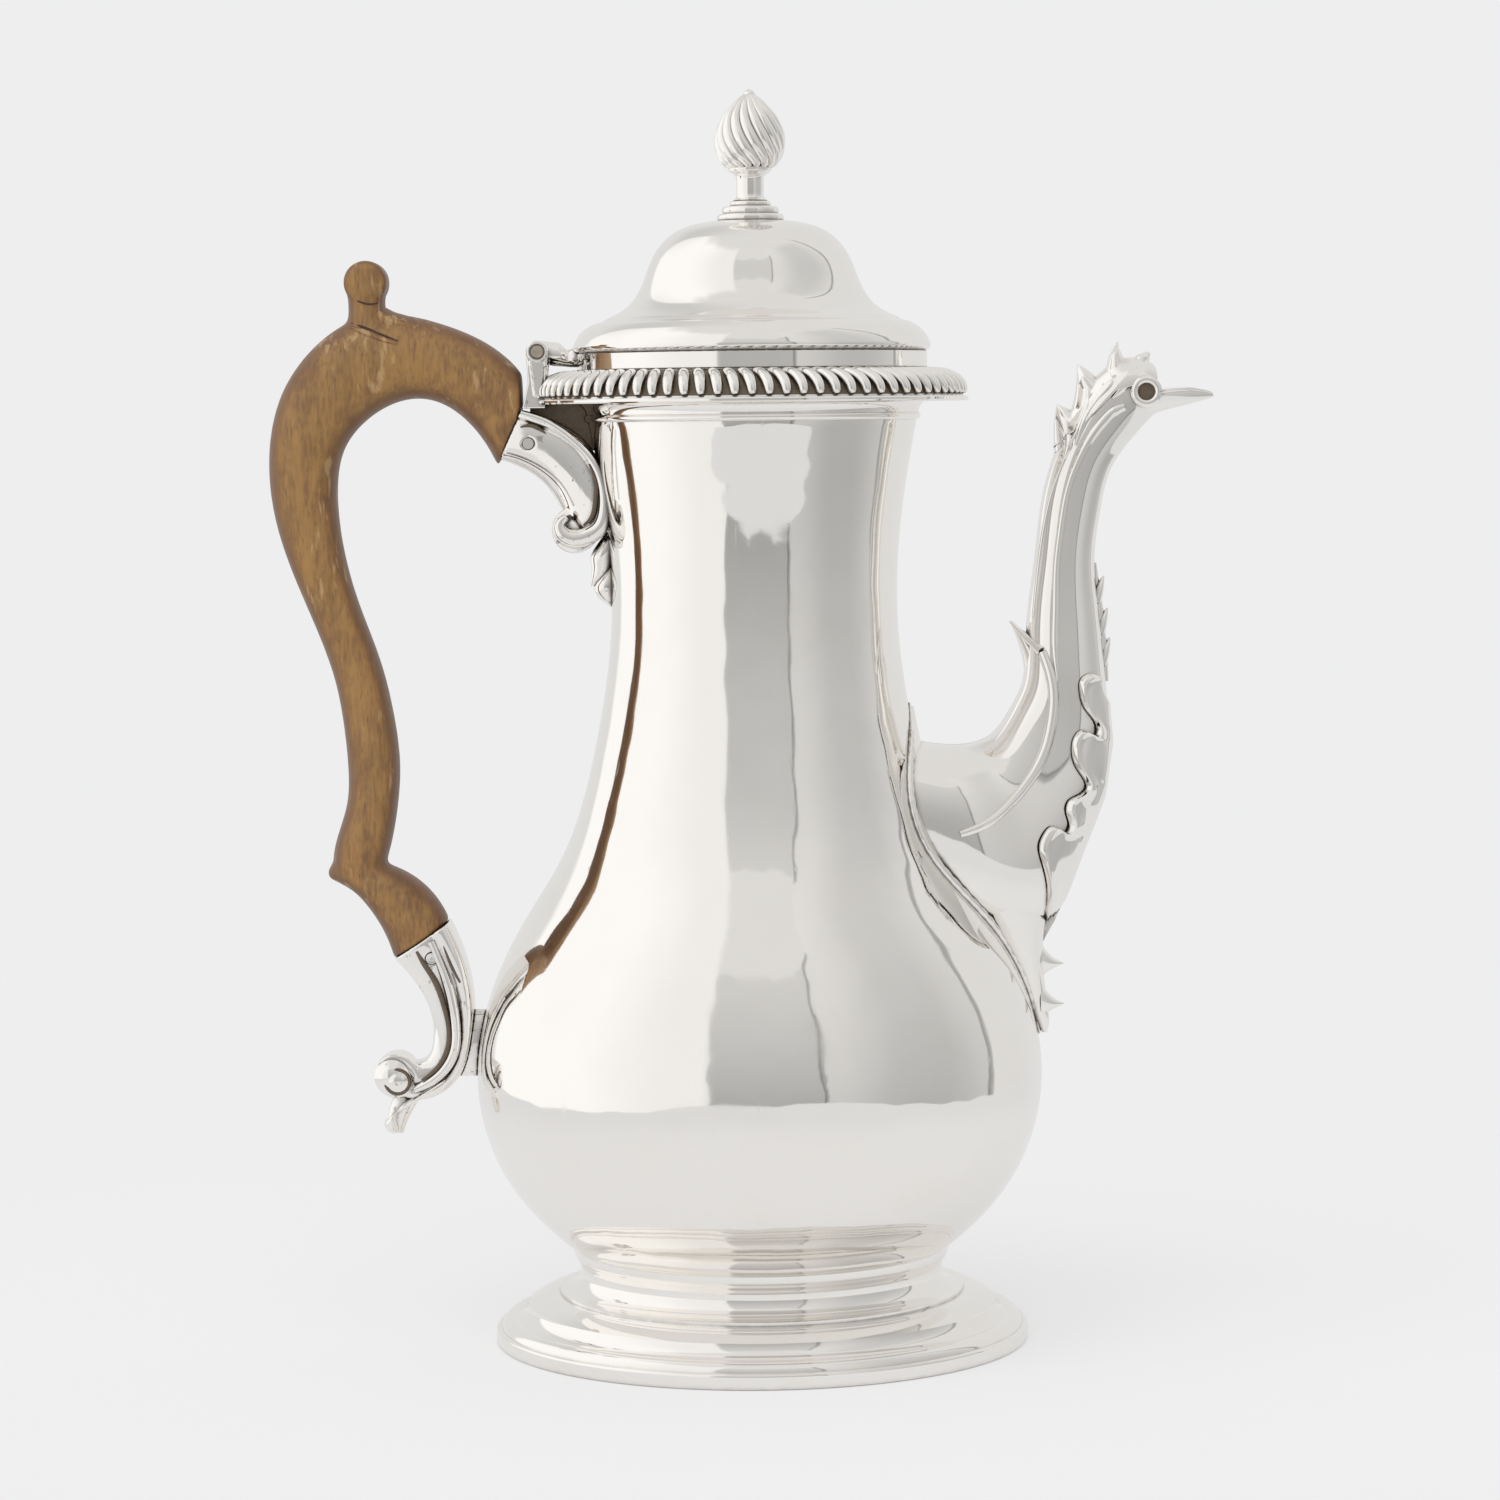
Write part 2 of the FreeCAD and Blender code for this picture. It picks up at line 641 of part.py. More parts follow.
def make_hinge_web(socket, bracket, moulding, border):
    """The upright plate that carries the bracket from the socket and the neck."""
    low = UPPER_AT.z
    top = COLLAR_Z + MOULDING_HEIGHT
    left = HINGE_X - 0.8 * KNUCKLE_R
    outline = [at(left, top), at(0, top), at(0, low)]
    outline += [moved(UPPER_AT, -3, 8), moved(UPPER_AT, -10, 11), at(left, UPPER_AT.z + 14)]
    web = plate(outline, WEB_THICKNESS).cut(body_envelope())
    for piece in (socket, bracket, moulding, border):
        web = web.cut(piece)
    return max(web.Solids, key=lambda solid: solid.Volume)


# Handle sockets

UPPER_Z = FOOT_HEIGHT + UPPER_SOCKET_RISE
UPPER_AT = at(-body_radius(UPPER_Z), UPPER_Z)
LOWER_Z = FOOT_HEIGHT + LOWER_SOCKET_RISE
LOWER_AT = at(-body_radius(LOWER_Z), LOWER_Z)

UPPER_MOUTH = (moved(UPPER_AT, -17.7, 16.9), moved(UPPER_AT, -22.7, 5.7))
LOWER_MOUTH = (moved(LOWER_AT, -19.2, 19.7), moved(LOWER_AT, -6.4, 28.3))


def mouth_frame(mouth, into):
    """The middle of a socket's mouth and the direction into the socket."""
    across = (mouth[1] - mouth[0]).normalize()
    axis = Vector(-across.z, 0, across.x)
    if axis.dot(into) < 0:
        axis = -axis
    return (mouth[0] + mouth[1]) * 0.5, axis, across


UPPER_MID, UPPER_AXIS, UPPER_CROSS = mouth_frame(UPPER_MOUTH, Vector(1, 0, 0))
LOWER_MID, LOWER_AXIS, LOWER_CROSS = mouth_frame(LOWER_MOUTH, Vector(0, 0, -1))


def tenon(middle, axis, across, grow=0.0):
    """The tongue of wood that enters a socket, or with grow the mortise for it."""
    wide = TENON_WIDTH / 2 + grow
    thick = TENON_THICKNESS / 2 + grow
    corners = []
    for a, b in ((-1, -1), (1, -1), (1, 1), (-1, 1)):
        corners.append(middle + across * (a * wide) + ACROSS * (b * thick))
    face = Part.Face(Part.Wire(path(corners + corners[:1])))
    return face.extrude(axis * (TENON_LENGTH + grow))


def handle_pin(middle, axis, thickness):
    return rod(middle + axis * (0.5 * TENON_LENGTH), HANDLE_PIN_R, thickness + 2 * HANDLE_PIN_PROUD)


def upper_pin():
    return handle_pin(UPPER_MID, UPPER_AXIS, UPPER_SOCKET_THICKNESS)


def lower_pin():
    return handle_pin(LOWER_MID, LOWER_AXIS, LOWER_SOCKET_THICKNESS)


def socket_rim(stations, share):
    """A raised band along one edge of a socket, on both of its sides."""
    band = []
    for edge, other, half in stations:
        inward_way = (other - edge).normalize()
        outer = edge - inward_way * SOCKET_RIM_LIP
        band.append((outer, edge + (other - edge) * share, half + SOCKET_RIM_PROUD))
    return oval_loft(band, 3.0)


def make_upper_socket():
    half = UPPER_SOCKET_THICKNESS / 2
    stations = [
        (UPPER_MOUTH[0], UPPER_MOUTH[1], half),
        (moved(UPPER_AT, -10.2, 14.2), moved(UPPER_AT, -15.4, 3.1), 0.98 * half),
        (moved(UPPER_AT, -4.2, 10.3), moved(UPPER_AT, -10.0, -1.7), 0.9 * half),
        (moved(UPPER_AT, 0.1, 4.5), moved(UPPER_AT, -8.0, -6.5), 0.84 * half),
        (moved(UPPER_AT, 5.0, -3.0), moved(UPPER_AT, -3.4, -12.5), 0.84 * half),
    ]
    arm = oval_loft(stations, 3.0).fuse(socket_rim(stations, UPPER_RIM_SHARE))
    volute = rod(moved(UPPER_AT, -5.9, -10.2), UPPER_VOLUTE_R, 1.3 * half)
    socket = arm.fuse(volute).cut(body_envelope())
    return socket.cut(tenon(UPPER_MID, UPPER_AXIS, UPPER_CROSS, TENON_GAP)).cut(upper_pin())


def make_socket_drop(socket):
    """A bud on a short neck that hangs below the upper volute against the body."""
    axis_x = UPPER_AT.x + 0.3
    top = UPPER_AT.z - 2.0 * UPPER_VOLUTE_R
    tip = UPPER_AT.z - 14.4 - DROP_LENGTH
    bud_top = tip + 0.62 * DROP_LENGTH
    neck_r = 0.55 * DROP_R
    edges = [
        line(at(0, top), at(neck_r, top)),
        line(at(neck_r, top), at(neck_r, bud_top)),
        arc(at(neck_r, bud_top), at(DROP_R, bud_top - 0.3 * DROP_LENGTH), at(0.4, tip)),
        line(at(0.4, tip), at(0, tip)),
        line(at(0, tip), at(0, top)),
    ]
    bud = turned(edges)
    bud.translate(at(axis_x, 0))
    return bud.cut(body_envelope()).cut(socket)


def make_lower_socket():
    half = LOWER_SOCKET_THICKNESS / 2
    stations = [
        (LOWER_MOUTH[0], LOWER_MOUTH[1], half),
        (moved(LOWER_AT, -13.9, 13.3), moved(LOWER_AT, -2.9, 19.6), 0.95 * half),
        (moved(LOWER_AT, -11.0, 6.9), moved(LOWER_AT, -1.2, 10.0), 0.85 * half),
        (moved(LOWER_AT, -10.6, 0.9), moved(LOWER_AT, -1.8, 0.6), 0.76 * half),
        (moved(LOWER_AT, -11.9, -2.8), moved(LOWER_AT, -4.4, -7.0), 0.7 * half),
        (moved(LOWER_AT, -15.1, -3.8), moved(LOWER_AT, -11.1, -12.2), 0.66 * half),
        (moved(LOWER_AT, -18.4, -3.2), moved(LOWER_AT, -17.9, -11.6), 0.62 * half),
    ]
    tail = [
        (moved(LOWER_AT, -19.0, -10.5), moved(LOWER_AT, -12.5, -11.5), 0.45 * half),
        (moved(LOWER_AT, -21.2, -16.0), moved(LOWER_AT, -16.0, -16.4), 0.35 * half),
        (moved(LOWER_AT, -21.4, -20.0), moved(LOWER_AT, -17.8, -20.8), 0.22 * half),
    ]
    rim = socket_rim([(b, a, half) for a, b, half in stations], LOWER_RIM_SHARE)
    socket = oval_loft(stations, 3.0).fuse(rim).fuse(oval_loft(tail))
    socket = socket.fuse(rod(moved(LOWER_AT, -19.0, -7.0), LOWER_VOLUTE_R, 1.3 * half))
    socket = socket.fuse(rod(moved(LOWER_AT, -17.9, -8.2), LOWER_BOSS_R, 1.56 * half))
    socket = socket.cut(body_envelope())
    return socket.cut(tenon(LOWER_MID, LOWER_AXIS, LOWER_CROSS, TENON_GAP)).cut(lower_pin())


def make_strut(socket):
    """The short stub that stands the lower socket off the belly."""
    low = moved(LOWER_AT, -7.0, -STRUT_HEIGHT / 2)
    high = moved(LOWER_AT, -7.0, STRUT_HEIGHT / 2)
    stub = Part.Face(oval(low, high, STRUT_THICKNESS / 2)).extrude(Vector(14, 0, 0))
    stub = stub.cut(body_envelope()).cut(socket)
    return max(stub.Solids, key=lambda solid: solid.BoundBox.XMax)


# Handle


def on_handle(x, z):
    """A point of the handle's outline, drawn from the lower mouth and stretched to the upper one."""
    share = z / HANDLE_SPAN_Z
    reach = UPPER_MID - LOWER_MID
    return at(LOWER_MID.x + x + share * (reach.x - HANDLE_SPAN_X), LOWER_MID.z + share * reach.z)


def make_handle():
    """A C-scroll with a curl for the thumb, a spur at its foot and a tenon at each end."""
    half = HANDLE_THICKNESS / 2
    sweep = [
        (UPPER_MID + UPPER_CROSS * 7.6, UPPER_MID - UPPER_CROSS * 11.4, half),
        (on_handle(12.8, 117.6), on_handle(18.6, 134.7), half),
        (on_handle(5.3, 122.6), on_handle(6.1, 140.4), half),
        (on_handle(-2.9, 122.6), on_handle(-9.4, 142.2), half),
        (on_handle(-10.2, 118.6), on_handle(-22.4, 134.8), half),
        (on_handle(-15.1, 112.9), on_handle(-30.1, 123.4), half),
        (on_handle(-17.2, 104.4), on_handle(-32.8, 106.9), 0.98 * half),
        (on_handle(-16.3, 90.3), on_handle(-29.1, 87.4), 0.95 * half),
        (on_handle(-12.9, 76.8), on_handle(-23.4, 72.9), 0.92 * half),
        (on_handle(-8.1, 63.1), on_handle(-18.8, 59.7), 0.9 * half),
        (on_handle(-5.3, 50.4), on_handle(-16.9, 48.9), 0.9 * half),
        (on_handle(-4.3, 38.4), on_handle(-16.1, 38.9), 0.92 * half),
        (on_handle(-5.4, 27.9), on_handle(-16.9, 29.9), 0.94 * half),
        (on_handle(-7.5, 18.8), on_handle(-19.9, 18.9), 0.94 * half),
        (on_handle(-9.4, 12.9), on_handle(-18.6, 14.0), 0.8 * half),
    ]
    tongue = [
        (on_handle(-21.3, 15.8), on_handle(-20.9, 14.2), 0.3 * half),
        (on_handle(-17.9, 19.0), on_handle(-16.9, 12.2), 0.75 * half),
        (on_handle(-9.4, 18.0), on_handle(-13.4, 9.2), 0.95 * half),
        (on_handle(-1.9, 14.7), on_handle(-10.1, 4.6), half),
        (LOWER_MOUTH[1], LOWER_MOUTH[0], half),
    ]
    stem = [
        (on_handle(-2.5, 134.0), on_handle(-16.5, 134.0), 0.8 * half),
        (on_handle(-5.6, 142.5), on_handle(-14.2, 141.5), 0.8 * half),
        (on_handle(-5.2, 149.0), on_handle(-14.6, 149.0), 0.75 * half),
    ]
    curl = rod(on_handle(-9.9, 149.5), CURL_R, CURL_WIDTH)
    curl = curl.makeFillet(0.3 * CURL_R, [e for e in curl.Edges if len(e.Vertexes) == 1])
    wood = oval_loft(sweep).fuse(oval_loft(tongue)).fuse(oval_loft(stem)).fuse(curl)
    edge_x = HINGE_X - 1.3 * BRACKET_WIDTH / 2 - BRACKET_WOOD_GAP
    relief = Part.makeBox(BIG, BIG, BIG, Vector(edge_x, -BIG / 2, UPPER_MOUTH[0].z))
    wood = wood.cut(relief)
    wood = wood.fuse(tenon(UPPER_MID, UPPER_AXIS, UPPER_CROSS))
    wood = wood.fuse(tenon(LOWER_MID, LOWER_AXIS, LOWER_CROSS))
    return wood.cut(upper_pin()).cut(lower_pin())


# Spout

SPOUT_Z = FOOT_HEIGHT + SPOUT_RISE
SPOUT_AT = at(body_radius(SPOUT_Z), SPOUT_Z)

# Each station: back x and z, front x and z, and half the width across
SPOUT_STATIONS = [
    (-9.1, 21.0, -4.1, -19.5, 18.0),
    (2.9, 19.4, 11.9, -22.0, 18.0),
    (8.4, 20.2, 23.9, -19.5, 15.0),
    (12.9, 23.2, 31.4, -5.0, 12.0),
    (16.9, 29.5, 37.2, 10.5, 9.8),
    (19.2, 37.5, 37.5, 34.5, 8.6),
    (19.9, 49.5, 36.1, 49.5, 7.6),
    (21.6, 62.0, 35.2, 61.5, 7.0),
    (23.4, 75.5, 36.7, 73.0, 6.6),
    (26.9, 87.0, 39.4, 82.5, 6.4),
    (30.9, 95.0, 43.9, 88.7, 6.2),
    (37.4, 103.0, 47.9, 93.1, HEAD_HALF_WIDTH),
    (49.2, 104.4, 50.9, 94.8, 5.4),
]
LIP_STATIONS = [
    (49.2, 104.4, 50.9, 94.8, 5.4),
    (55.9, 101.6, 56.5, 96.2, 4.0),
    (62.5, 99.7, 62.6, 98.1, 1.2),
]

# The cup ends at this station. Its rim goes on over the back: x, z, share of the half width, taper
CUP_TOP = 5
CUP_STATIONS = [
    (25.1, 31.0, 0.98, 0.95),
    (24.2, 36.0, 0.92, 0.9),
    (22.4, 40.6, 0.78, 0.8),
    (19.6, 44.2, 0.45, 0.6),
    (16.6, 46.9, 0.08, 0.3),
]
EYE_X, EYE_Z = 46.8, 99.2
LIP_EDGE_Z = 99.7
LIP_START_X = 49.8


def spout_sections(stations, shrink):
    wires = []
    for bx, bz, fx, fz, half in stations:
        wires.append(ridged(moved(SPOUT_AT, bx, bz), moved(SPOUT_AT, fx, fz), half, shrink))
    return wires


def spout_outer(grow=0.0):
    return Part.makeLoft(spout_sections(SPOUT_STATIONS, -grow), True)


def spout_bore():
    tube = Part.makeLoft(spout_sections(SPOUT_STATIONS, SPOUT_WALL), True)
    lip = Part.makeLoft(spout_sections(LIP_STATIONS[:2], SPOUT_WALL), True, True)
    return tube.fuse(lip)


def ridge_strip(stations, side, width, proud):
    """Sections of a raised strip along the ridge on one side of the tube."""
    strip = []
    for bx, bz, fx, fz, half in stations:
        back, front = moved(SPOUT_AT, bx, bz), moved(SPOUT_AT, fx, fz)
        along = (front - back).normalize() * (width / 2)
        middle = back + (front - back) * RIDGE_SHARE + ACROSS * (side * half)
        strip.append((middle - along, middle + along, proud))
    return strip


def ridge_bead(side):
    """The bright ridge from the cup up to the eye."""
    return oval_loft(ridge_strip(SPOUT_STATIONS[CUP_TOP:-1], side, RIDGE_BEAD_WIDTH, RIDGE_BEAD_PROUD))


def cup_rim(side):
    """The rolled rim of the cup: up the ridge from the body, then over the tube's back to the spur."""
    rim = ridge_strip(SPOUT_STATIONS[1:CUP_TOP], side, CUP_RIM_WIDTH, CUP_RIM_PROUD)
    half = SPOUT_STATIONS[CUP_TOP][4]
    last = (rim[-1][0] + rim[-1][1]) * 0.5
    for x, z, share, taper in CUP_STATIONS:
        middle = moved(SPOUT_AT, x, z) + ACROSS * (side * share * half)
        way = middle - last
        along = at(way.z, -way.x).normalize() * (taper * CUP_RIM_WIDTH / 2)
        rim.append((middle - along, middle + along, taper * CUP_RIM_PROUD))
        last = middle
    return oval_loft(rim)


def spout_form():
    """The tube, its lip, the ring eyes, the ridges and the cup's rim and spur, not yet hollow."""
    lip = Part.makeLoft(spout_sections(LIP_STATIONS, 0.0), True, True)
    eyes = rod(moved(SPOUT_AT, EYE_X, EYE_Z), EYE_R, 2 * (HEAD_HALF_WIDTH + EYE_PROUD))
    form = spout_outer().fuse(lip).fuse(eyes)
    form = form.fuse(thorn((18.6, 36.0), (20.4, 45.0), 3.6, (16.0, 47.3), (1.6, -1.0)))
    for side in (-1, 1):
        form = form.fuse(ridge_bead(side)).fuse(cup_rim(side))
    return form


def make_spout(form):
    """The form made hollow, with its lip open at the top, trimmed to the body."""
    corner = moved(SPOUT_AT, LIP_START_X, LIP_EDGE_Z) - ACROSS * 10
    opening = Part.makeBox(30, 20, 30, corner)
    return form.cut(spout_bore()).cut(opening).cut(body_envelope())


def halves(spout):
    """The two castings, split along the pot's middle plane."""
    near = Part.makeBox(BIG, BIG, BIG, Vector(0, -BIG, 0))
    return spout.common(near), spout.cut(near)


def thorn(base_a, base_b, half, tip, lean):
    """A leaf tip that rises from a base on the tube to a blunt point."""
    a = moved(SPOUT_AT, *base_a)
    b = moved(SPOUT_AT, *base_b)
    point = moved(SPOUT_AT, *tip)
    side = (b - a).normalize() * 0.3
    root = at(lean[0], lean[1])
    middle = (a + b) * 0.5 * 0.45 + point * 0.55
    wide = (b - a) * 0.2
    foot = oval(a + root, b + root, half)
    waist = oval(middle - wide, middle + wide, 0.6 * half)
    return Part.makeLoft([foot, waist, oval(point - side, point + side, 0.25)], True, True)


def make_crest(solid_spout):
    """A leaf over the back of the head with four tips that stand up from it."""
    tips = [
        thorn((27.9, 89.0), (30.9, 94.8), 4.6, (27.0, 96.4), (1.5, -1.0)),
        thorn((30.9, 94.8), (35.9, 102.6), 5.0, (31.8, 105.4), (2.0, -2.0)),
        thorn((35.9, 102.6), (41.8, 106.9), 5.0, (40.7, 110.5), (1.0, -3.5)),
        thorn((41.8, 106.9), (47.5, 104.2), 4.6, (47.7, 108.2), (-0.5, -3.0)),
    ]
    edge = [(25.0, 86.0), (33.0, 92.5), (40.0, 99.5), (49.4, 102.0), (49.4, 112.0), (25.0, 112.0)]
    saddle = spout_outer(LEAF_THICKNESS).common(plate([moved(SPOUT_AT, x, z) for x, z in edge], 40))
    for tip in tips:
        saddle = saddle.fuse(tip)
    return saddle.cut(solid_spout)


def make_spout_leaf(solid_spout):
    """The acanthus leaf: a skin on the outer curve with a lobed edge, and a spurred strip above it."""
    lobes = [
        (36.0, 34.3), (33.3, 35.7), (31.2, 34.4), (30.9, 31.9), (32.1, 27.7), (34.5, 22.6), (31.7, 23.0),
        (29.6, 21.5), (29.0, 18.7), (30.1, 14.3), (32.1, 9.7), (30.5, 8.4), (28.3, 7.3), (27.5, 4.7),
        (27.6, 0.6), (24.4, 1.5), (22.2, -0.2), (21.2, -2.9), (22.0, -7.0), (23.2, -13.0), (22.6, -22.0),
    ]
    strip = [(60.0, -24.0), (60.0, 60.0), (34.4, 60.0), (34.7, 50.0), (35.0, 43.0), (35.8, 36.0)]
    points = [moved(SPOUT_AT, x, z) for x, z in lobes]
    edges = [spline(points).toShape()]
    edges += path(points[-1:] + [moved(SPOUT_AT, x, z) for x, z in strip] + points[:1])
    outline = Part.Face(Part.Wire(edges))
    outline.translate(ACROSS * -BIG)
    prism = outline.extrude(ACROSS * (2 * BIG))
    skin = spout_outer(LEAF_THICKNESS).common(prism)
    for low, tip in (((34.6, 50.0), (37.4, 57.6)), ((35.2, 42.8), (38.1, 50.2)), ((35.8, 36.3), (38.5, 43.5))):
        skin = skin.fuse(thorn(low, (low[0] + 0.3, low[1] + 4.5), 1.7, tip, (-0.5, 0.0)))
    leaf = skin.cut(solid_spout).cut(body_envelope())
    return max(leaf.Solids, key=lambda solid: solid.Volume)


def make_root_mount(solid_spout, leaf):
    """The pointed mount on the body round the spout's root, with the spurred drop below."""
    w = ROOT_HALF_WIDTH
    outline = [(0.0, 29.5), (0.62 * w, 22.0), (w, 6.0), (0.9 * w, -8.0)]
    outline += [(0.45 * w, -22.0), (0.13 * w, -36.0), (0.0, -47.2)]
    points = [Vector(0, y, SPOUT_AT.z + z) for y, z in outline]
    points += [Vector(0, -p.y, p.z) for p in reversed(points[1:-1])]
    shield = Part.Face(Part.Wire(path(points + points[:1]))).extrude(Vector(BIG, 0, 0))
    pad = body_envelope(ROOT_THICKNESS).common(shield)
    edge = [(23.6, -18.0), (23.2, -26.5), (23.2, -32.5), (23.7, -38.5), (24.0, -44.0), (23.7, -47.2)]
    stem = [moved(SPOUT_AT, x, z) for x, z in edge]
    outline = [spline(stem).toShape()]
    outline += path([stem[-1], moved(SPOUT_AT, 5.0, -47.2), moved(SPOUT_AT, 5.0, -18.0), stem[0]])
    face = Part.Face(Part.Wire(outline))
    face.translate(ACROSS * (-ROOT_DROP_THICKNESS / 2))
    drop = face.extrude(ACROSS * ROOT_DROP_THICKNESS)
    drop = drop.fuse(thorn((22.6, -24.0), (22.4, -33.0), 1.8, (27.8, -31.1), (-0.6, 0.0)))
    drop = drop.fuse(thorn((22.6, -33.6), (23.0, -42.4), 1.7, (27.8, -40.4), (-0.6, 0.0)))
    mount = pad.fuse(drop).cut(body_envelope()).cut(solid_spout).cut(leaf)
    return max(mount.Solids, key=lambda solid: solid.Volume)


def build():
    form = spout_form()
    near, far = halves(make_spout(form))
    leaf = make_spout_leaf(form)
    upper_socket = make_upper_socket()
    lower_socket = make_lower_socket()
    bracket = make_hinge_bracket()
    moulding = make_neck_moulding()
    border = make_gadroon_border().cut(bracket)
    return {
        "body": make_body(),
        "foot": make_foot(),
        "foot_band": make_foot_band(),
        "neck_moulding": moulding,
        "gadroon_border": border,
        "spout_near_half": near,
        "spout_far_half": far,
        "spout_crest": make_crest(form),
        "spout_leaf": leaf,
        "spout_root_mount": make_root_mount(form, leaf),
        "hinge_bracket": bracket,
        "hinge_pin": make_hinge_pin(),
        "hinge_web": make_hinge_web(upper_socket, bracket, moulding, border),
        "upper_socket": upper_socket,
        "upper_socket_drop": make_socket_drop(upper_socket),
        "lower_socket": lower_socket,
        "strut": make_strut(lower_socket),
        "upper_handle_pin": upper_pin(),
        "lower_handle_pin": lower_pin(),
        "wooden_handle": make_handle(),
        "lid_dome": make_lid_dome(),
        "lid_band": make_lid_band(),
        "lid_bezel": make_lid_bezel(),
        "lid_hinge_arm": make_lid_hinge_arm(),
        "finial_pedestal": make_finial_pedestal(),
        "finial_bud": make_finial_bud(),
        "finial_nut": make_finial_nut(),
    }


os.makedirs("parts", exist_ok=True)
for name, shape in build().items():
    shape.exportStep("parts/" + name + ".step")
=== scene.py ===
import json
import math

import bmesh
import bpy
import numpy as np
from bpy.props import FloatProperty, FloatVectorProperty, IntProperty, PointerProperty
from mathutils import Matrix, Vector
from mathutils.bvhtree import BVHTree


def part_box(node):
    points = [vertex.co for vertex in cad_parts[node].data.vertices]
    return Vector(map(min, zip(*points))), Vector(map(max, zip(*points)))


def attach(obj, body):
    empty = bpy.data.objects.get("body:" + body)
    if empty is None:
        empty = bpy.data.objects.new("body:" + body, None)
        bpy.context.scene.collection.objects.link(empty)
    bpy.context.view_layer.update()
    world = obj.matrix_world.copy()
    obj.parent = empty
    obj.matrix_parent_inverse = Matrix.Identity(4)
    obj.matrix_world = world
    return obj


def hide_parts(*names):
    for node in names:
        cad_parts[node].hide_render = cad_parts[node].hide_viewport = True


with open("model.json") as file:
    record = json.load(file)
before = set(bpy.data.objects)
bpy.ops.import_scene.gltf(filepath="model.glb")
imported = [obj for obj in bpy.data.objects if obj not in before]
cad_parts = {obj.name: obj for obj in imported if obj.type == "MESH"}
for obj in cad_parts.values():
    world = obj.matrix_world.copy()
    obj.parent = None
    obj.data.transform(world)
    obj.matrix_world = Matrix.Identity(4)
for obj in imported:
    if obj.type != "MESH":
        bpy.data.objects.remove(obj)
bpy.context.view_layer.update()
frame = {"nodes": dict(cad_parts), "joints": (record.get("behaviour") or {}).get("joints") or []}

bl_info = {
    "name": "Silver coffee pot",
    "version": (1, 0, 0),
    "blender": (4, 5, 0),
    "location": "View3D > Sidebar > Coffee pot",
    "description": "Dresses a silver coffee pot with a wooden handle and a hinged lid",
    "category": "Object",
}

MM = 0.001
PHOTO_SIZE_PX = 1500
PHOTO_FOCAL_PX = 4580
SENSOR_MM = 36.0
CAMERA_PLACE_MM = (-1.4, -1042.5, 210.4)
CAMERA_TIP_DEG = 4.13
CAMERA_ROLL_DEG = -0.62

# The paper's edge on the table, in metres

TABLE_EDGE = (
    (-0.38, 0.1),
    (-0.34, -0.26),
    (-0.28, -0.58),
    (-0.19, -0.67),
    (-0.06, -0.8),
    (0.08, -0.75),
    (0.21, -0.8),
    (0.35, -0.68),
    (0.41, -0.42),
    (0.45, -0.2),
    (0.42, 0.1),
    (0.5, 0.6),
    (-0.5, 0.6),
)


def box_mm(node):
    """A node's lowest and highest corners in millimetres."""
    low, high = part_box(node)
    return low / MM, high / MM


# Sizes read from the frame, in millimetres

FOOT_BAND_R = box_mm("foot_band")[1].x
FOOT_BAND_TOP = box_mm("foot_band")[1].z
BELLY_R = min(box_mm("body")[1].y, -box_mm("body")[0].y)
MOUTH_Z = box_mm("body")[1].z
COLLAR_Z = box_mm("neck_moulding")[0].z
MOULDING_TOP = box_mm("neck_moulding")[1].z
MOULDING_R = box_mm("neck_moulding")[1].y
BORDER_R = box_mm("gadroon_border")[1].y
LID_LOW = box_mm("lid_band")[0].z
LID_BAND_R = box_mm("lid_band")[1].y
FLANGE_Z = box_mm("lid_band")[1].z
FLANGE_R = box_mm("lid_dome")[1].y
CROWN_Z = box_mm("lid_dome")[1].z
BEZEL_LOW = box_mm("lid_bezel")[0].z
PEDESTAL_TOP = box_mm("finial_pedestal")[1].z
BUD_TOP = box_mm("finial_bud")[1].z
HINGE = Vector(frame["joints"][0]["pos_m"]) / MM

# Other sizes of the turned pieces, in millimetres

FOOT_TOP_Z = 21.5
FOOT_TOP_R = 43.0
FOOT_NECK_R = 41.5
FOOT_STEP_R = 46.3
FOOT_SHOULDER_R = 53.5
FOOT_COVE_R = 56.0
FOOT_SHEET = 1.0
FOOT_BAND_WALL = 2.4
FOOT_BAND_ROUND = 0.7
BELLY_Z = 61.0
NECK_R = 32.6
NECK_Z = 164.5
COLLAR_R = 37.2
BODY_WALL = 0.8
BODY_SAG = 7.0
MOULDING_RING = 1.6
BORDER_LIP_TOP = MOULDING_TOP + 1.0
LEDGE_R = 41.0
LID_STEP_R = 33.0
LID_STEP_Z = 233.3
LID_DOME_R = 24.6
LID_SHEET = 0.8
LID_BAND_WALL = 1.2
BEZEL_GAP = 0.6
BEZEL_WALL = 0.8
PEDESTAL_R = 7.6
STEM_R = 3.1
BUD_RIB_R = 1.32
STRAINER_HOLE_R = 1.6
STRAINER_PITCH = 6.0
STRAINER_Z = 116.5
STRAINER_DRILL = 40.0
SPOUT_ROOT_X = 52.0
VESSEL_MIDDLE_Z = 150.0

# How finely the meshes are made, and the angles at which their shading breaks

TURNED_SEGMENTS = 256
SPOUT_POINTS = 97
RIB_STEPS = 26
RIB_SIDES = 14
RING_STEPS = 24
MERGE_MM = 0.0005
SHARP_DEG = 32.0
DOME_SHARP_DEG = 36.0
MOULDED_SHARP_DEG = 40.0
RELIEF_SHARP_DEG = 40.0
RIB_SHARP_DEG = 50.0
LEAF_SHARP_DEG = 60.0
CAST_SHARP_DEG = 180.0

# Colours that the panel doesn't show

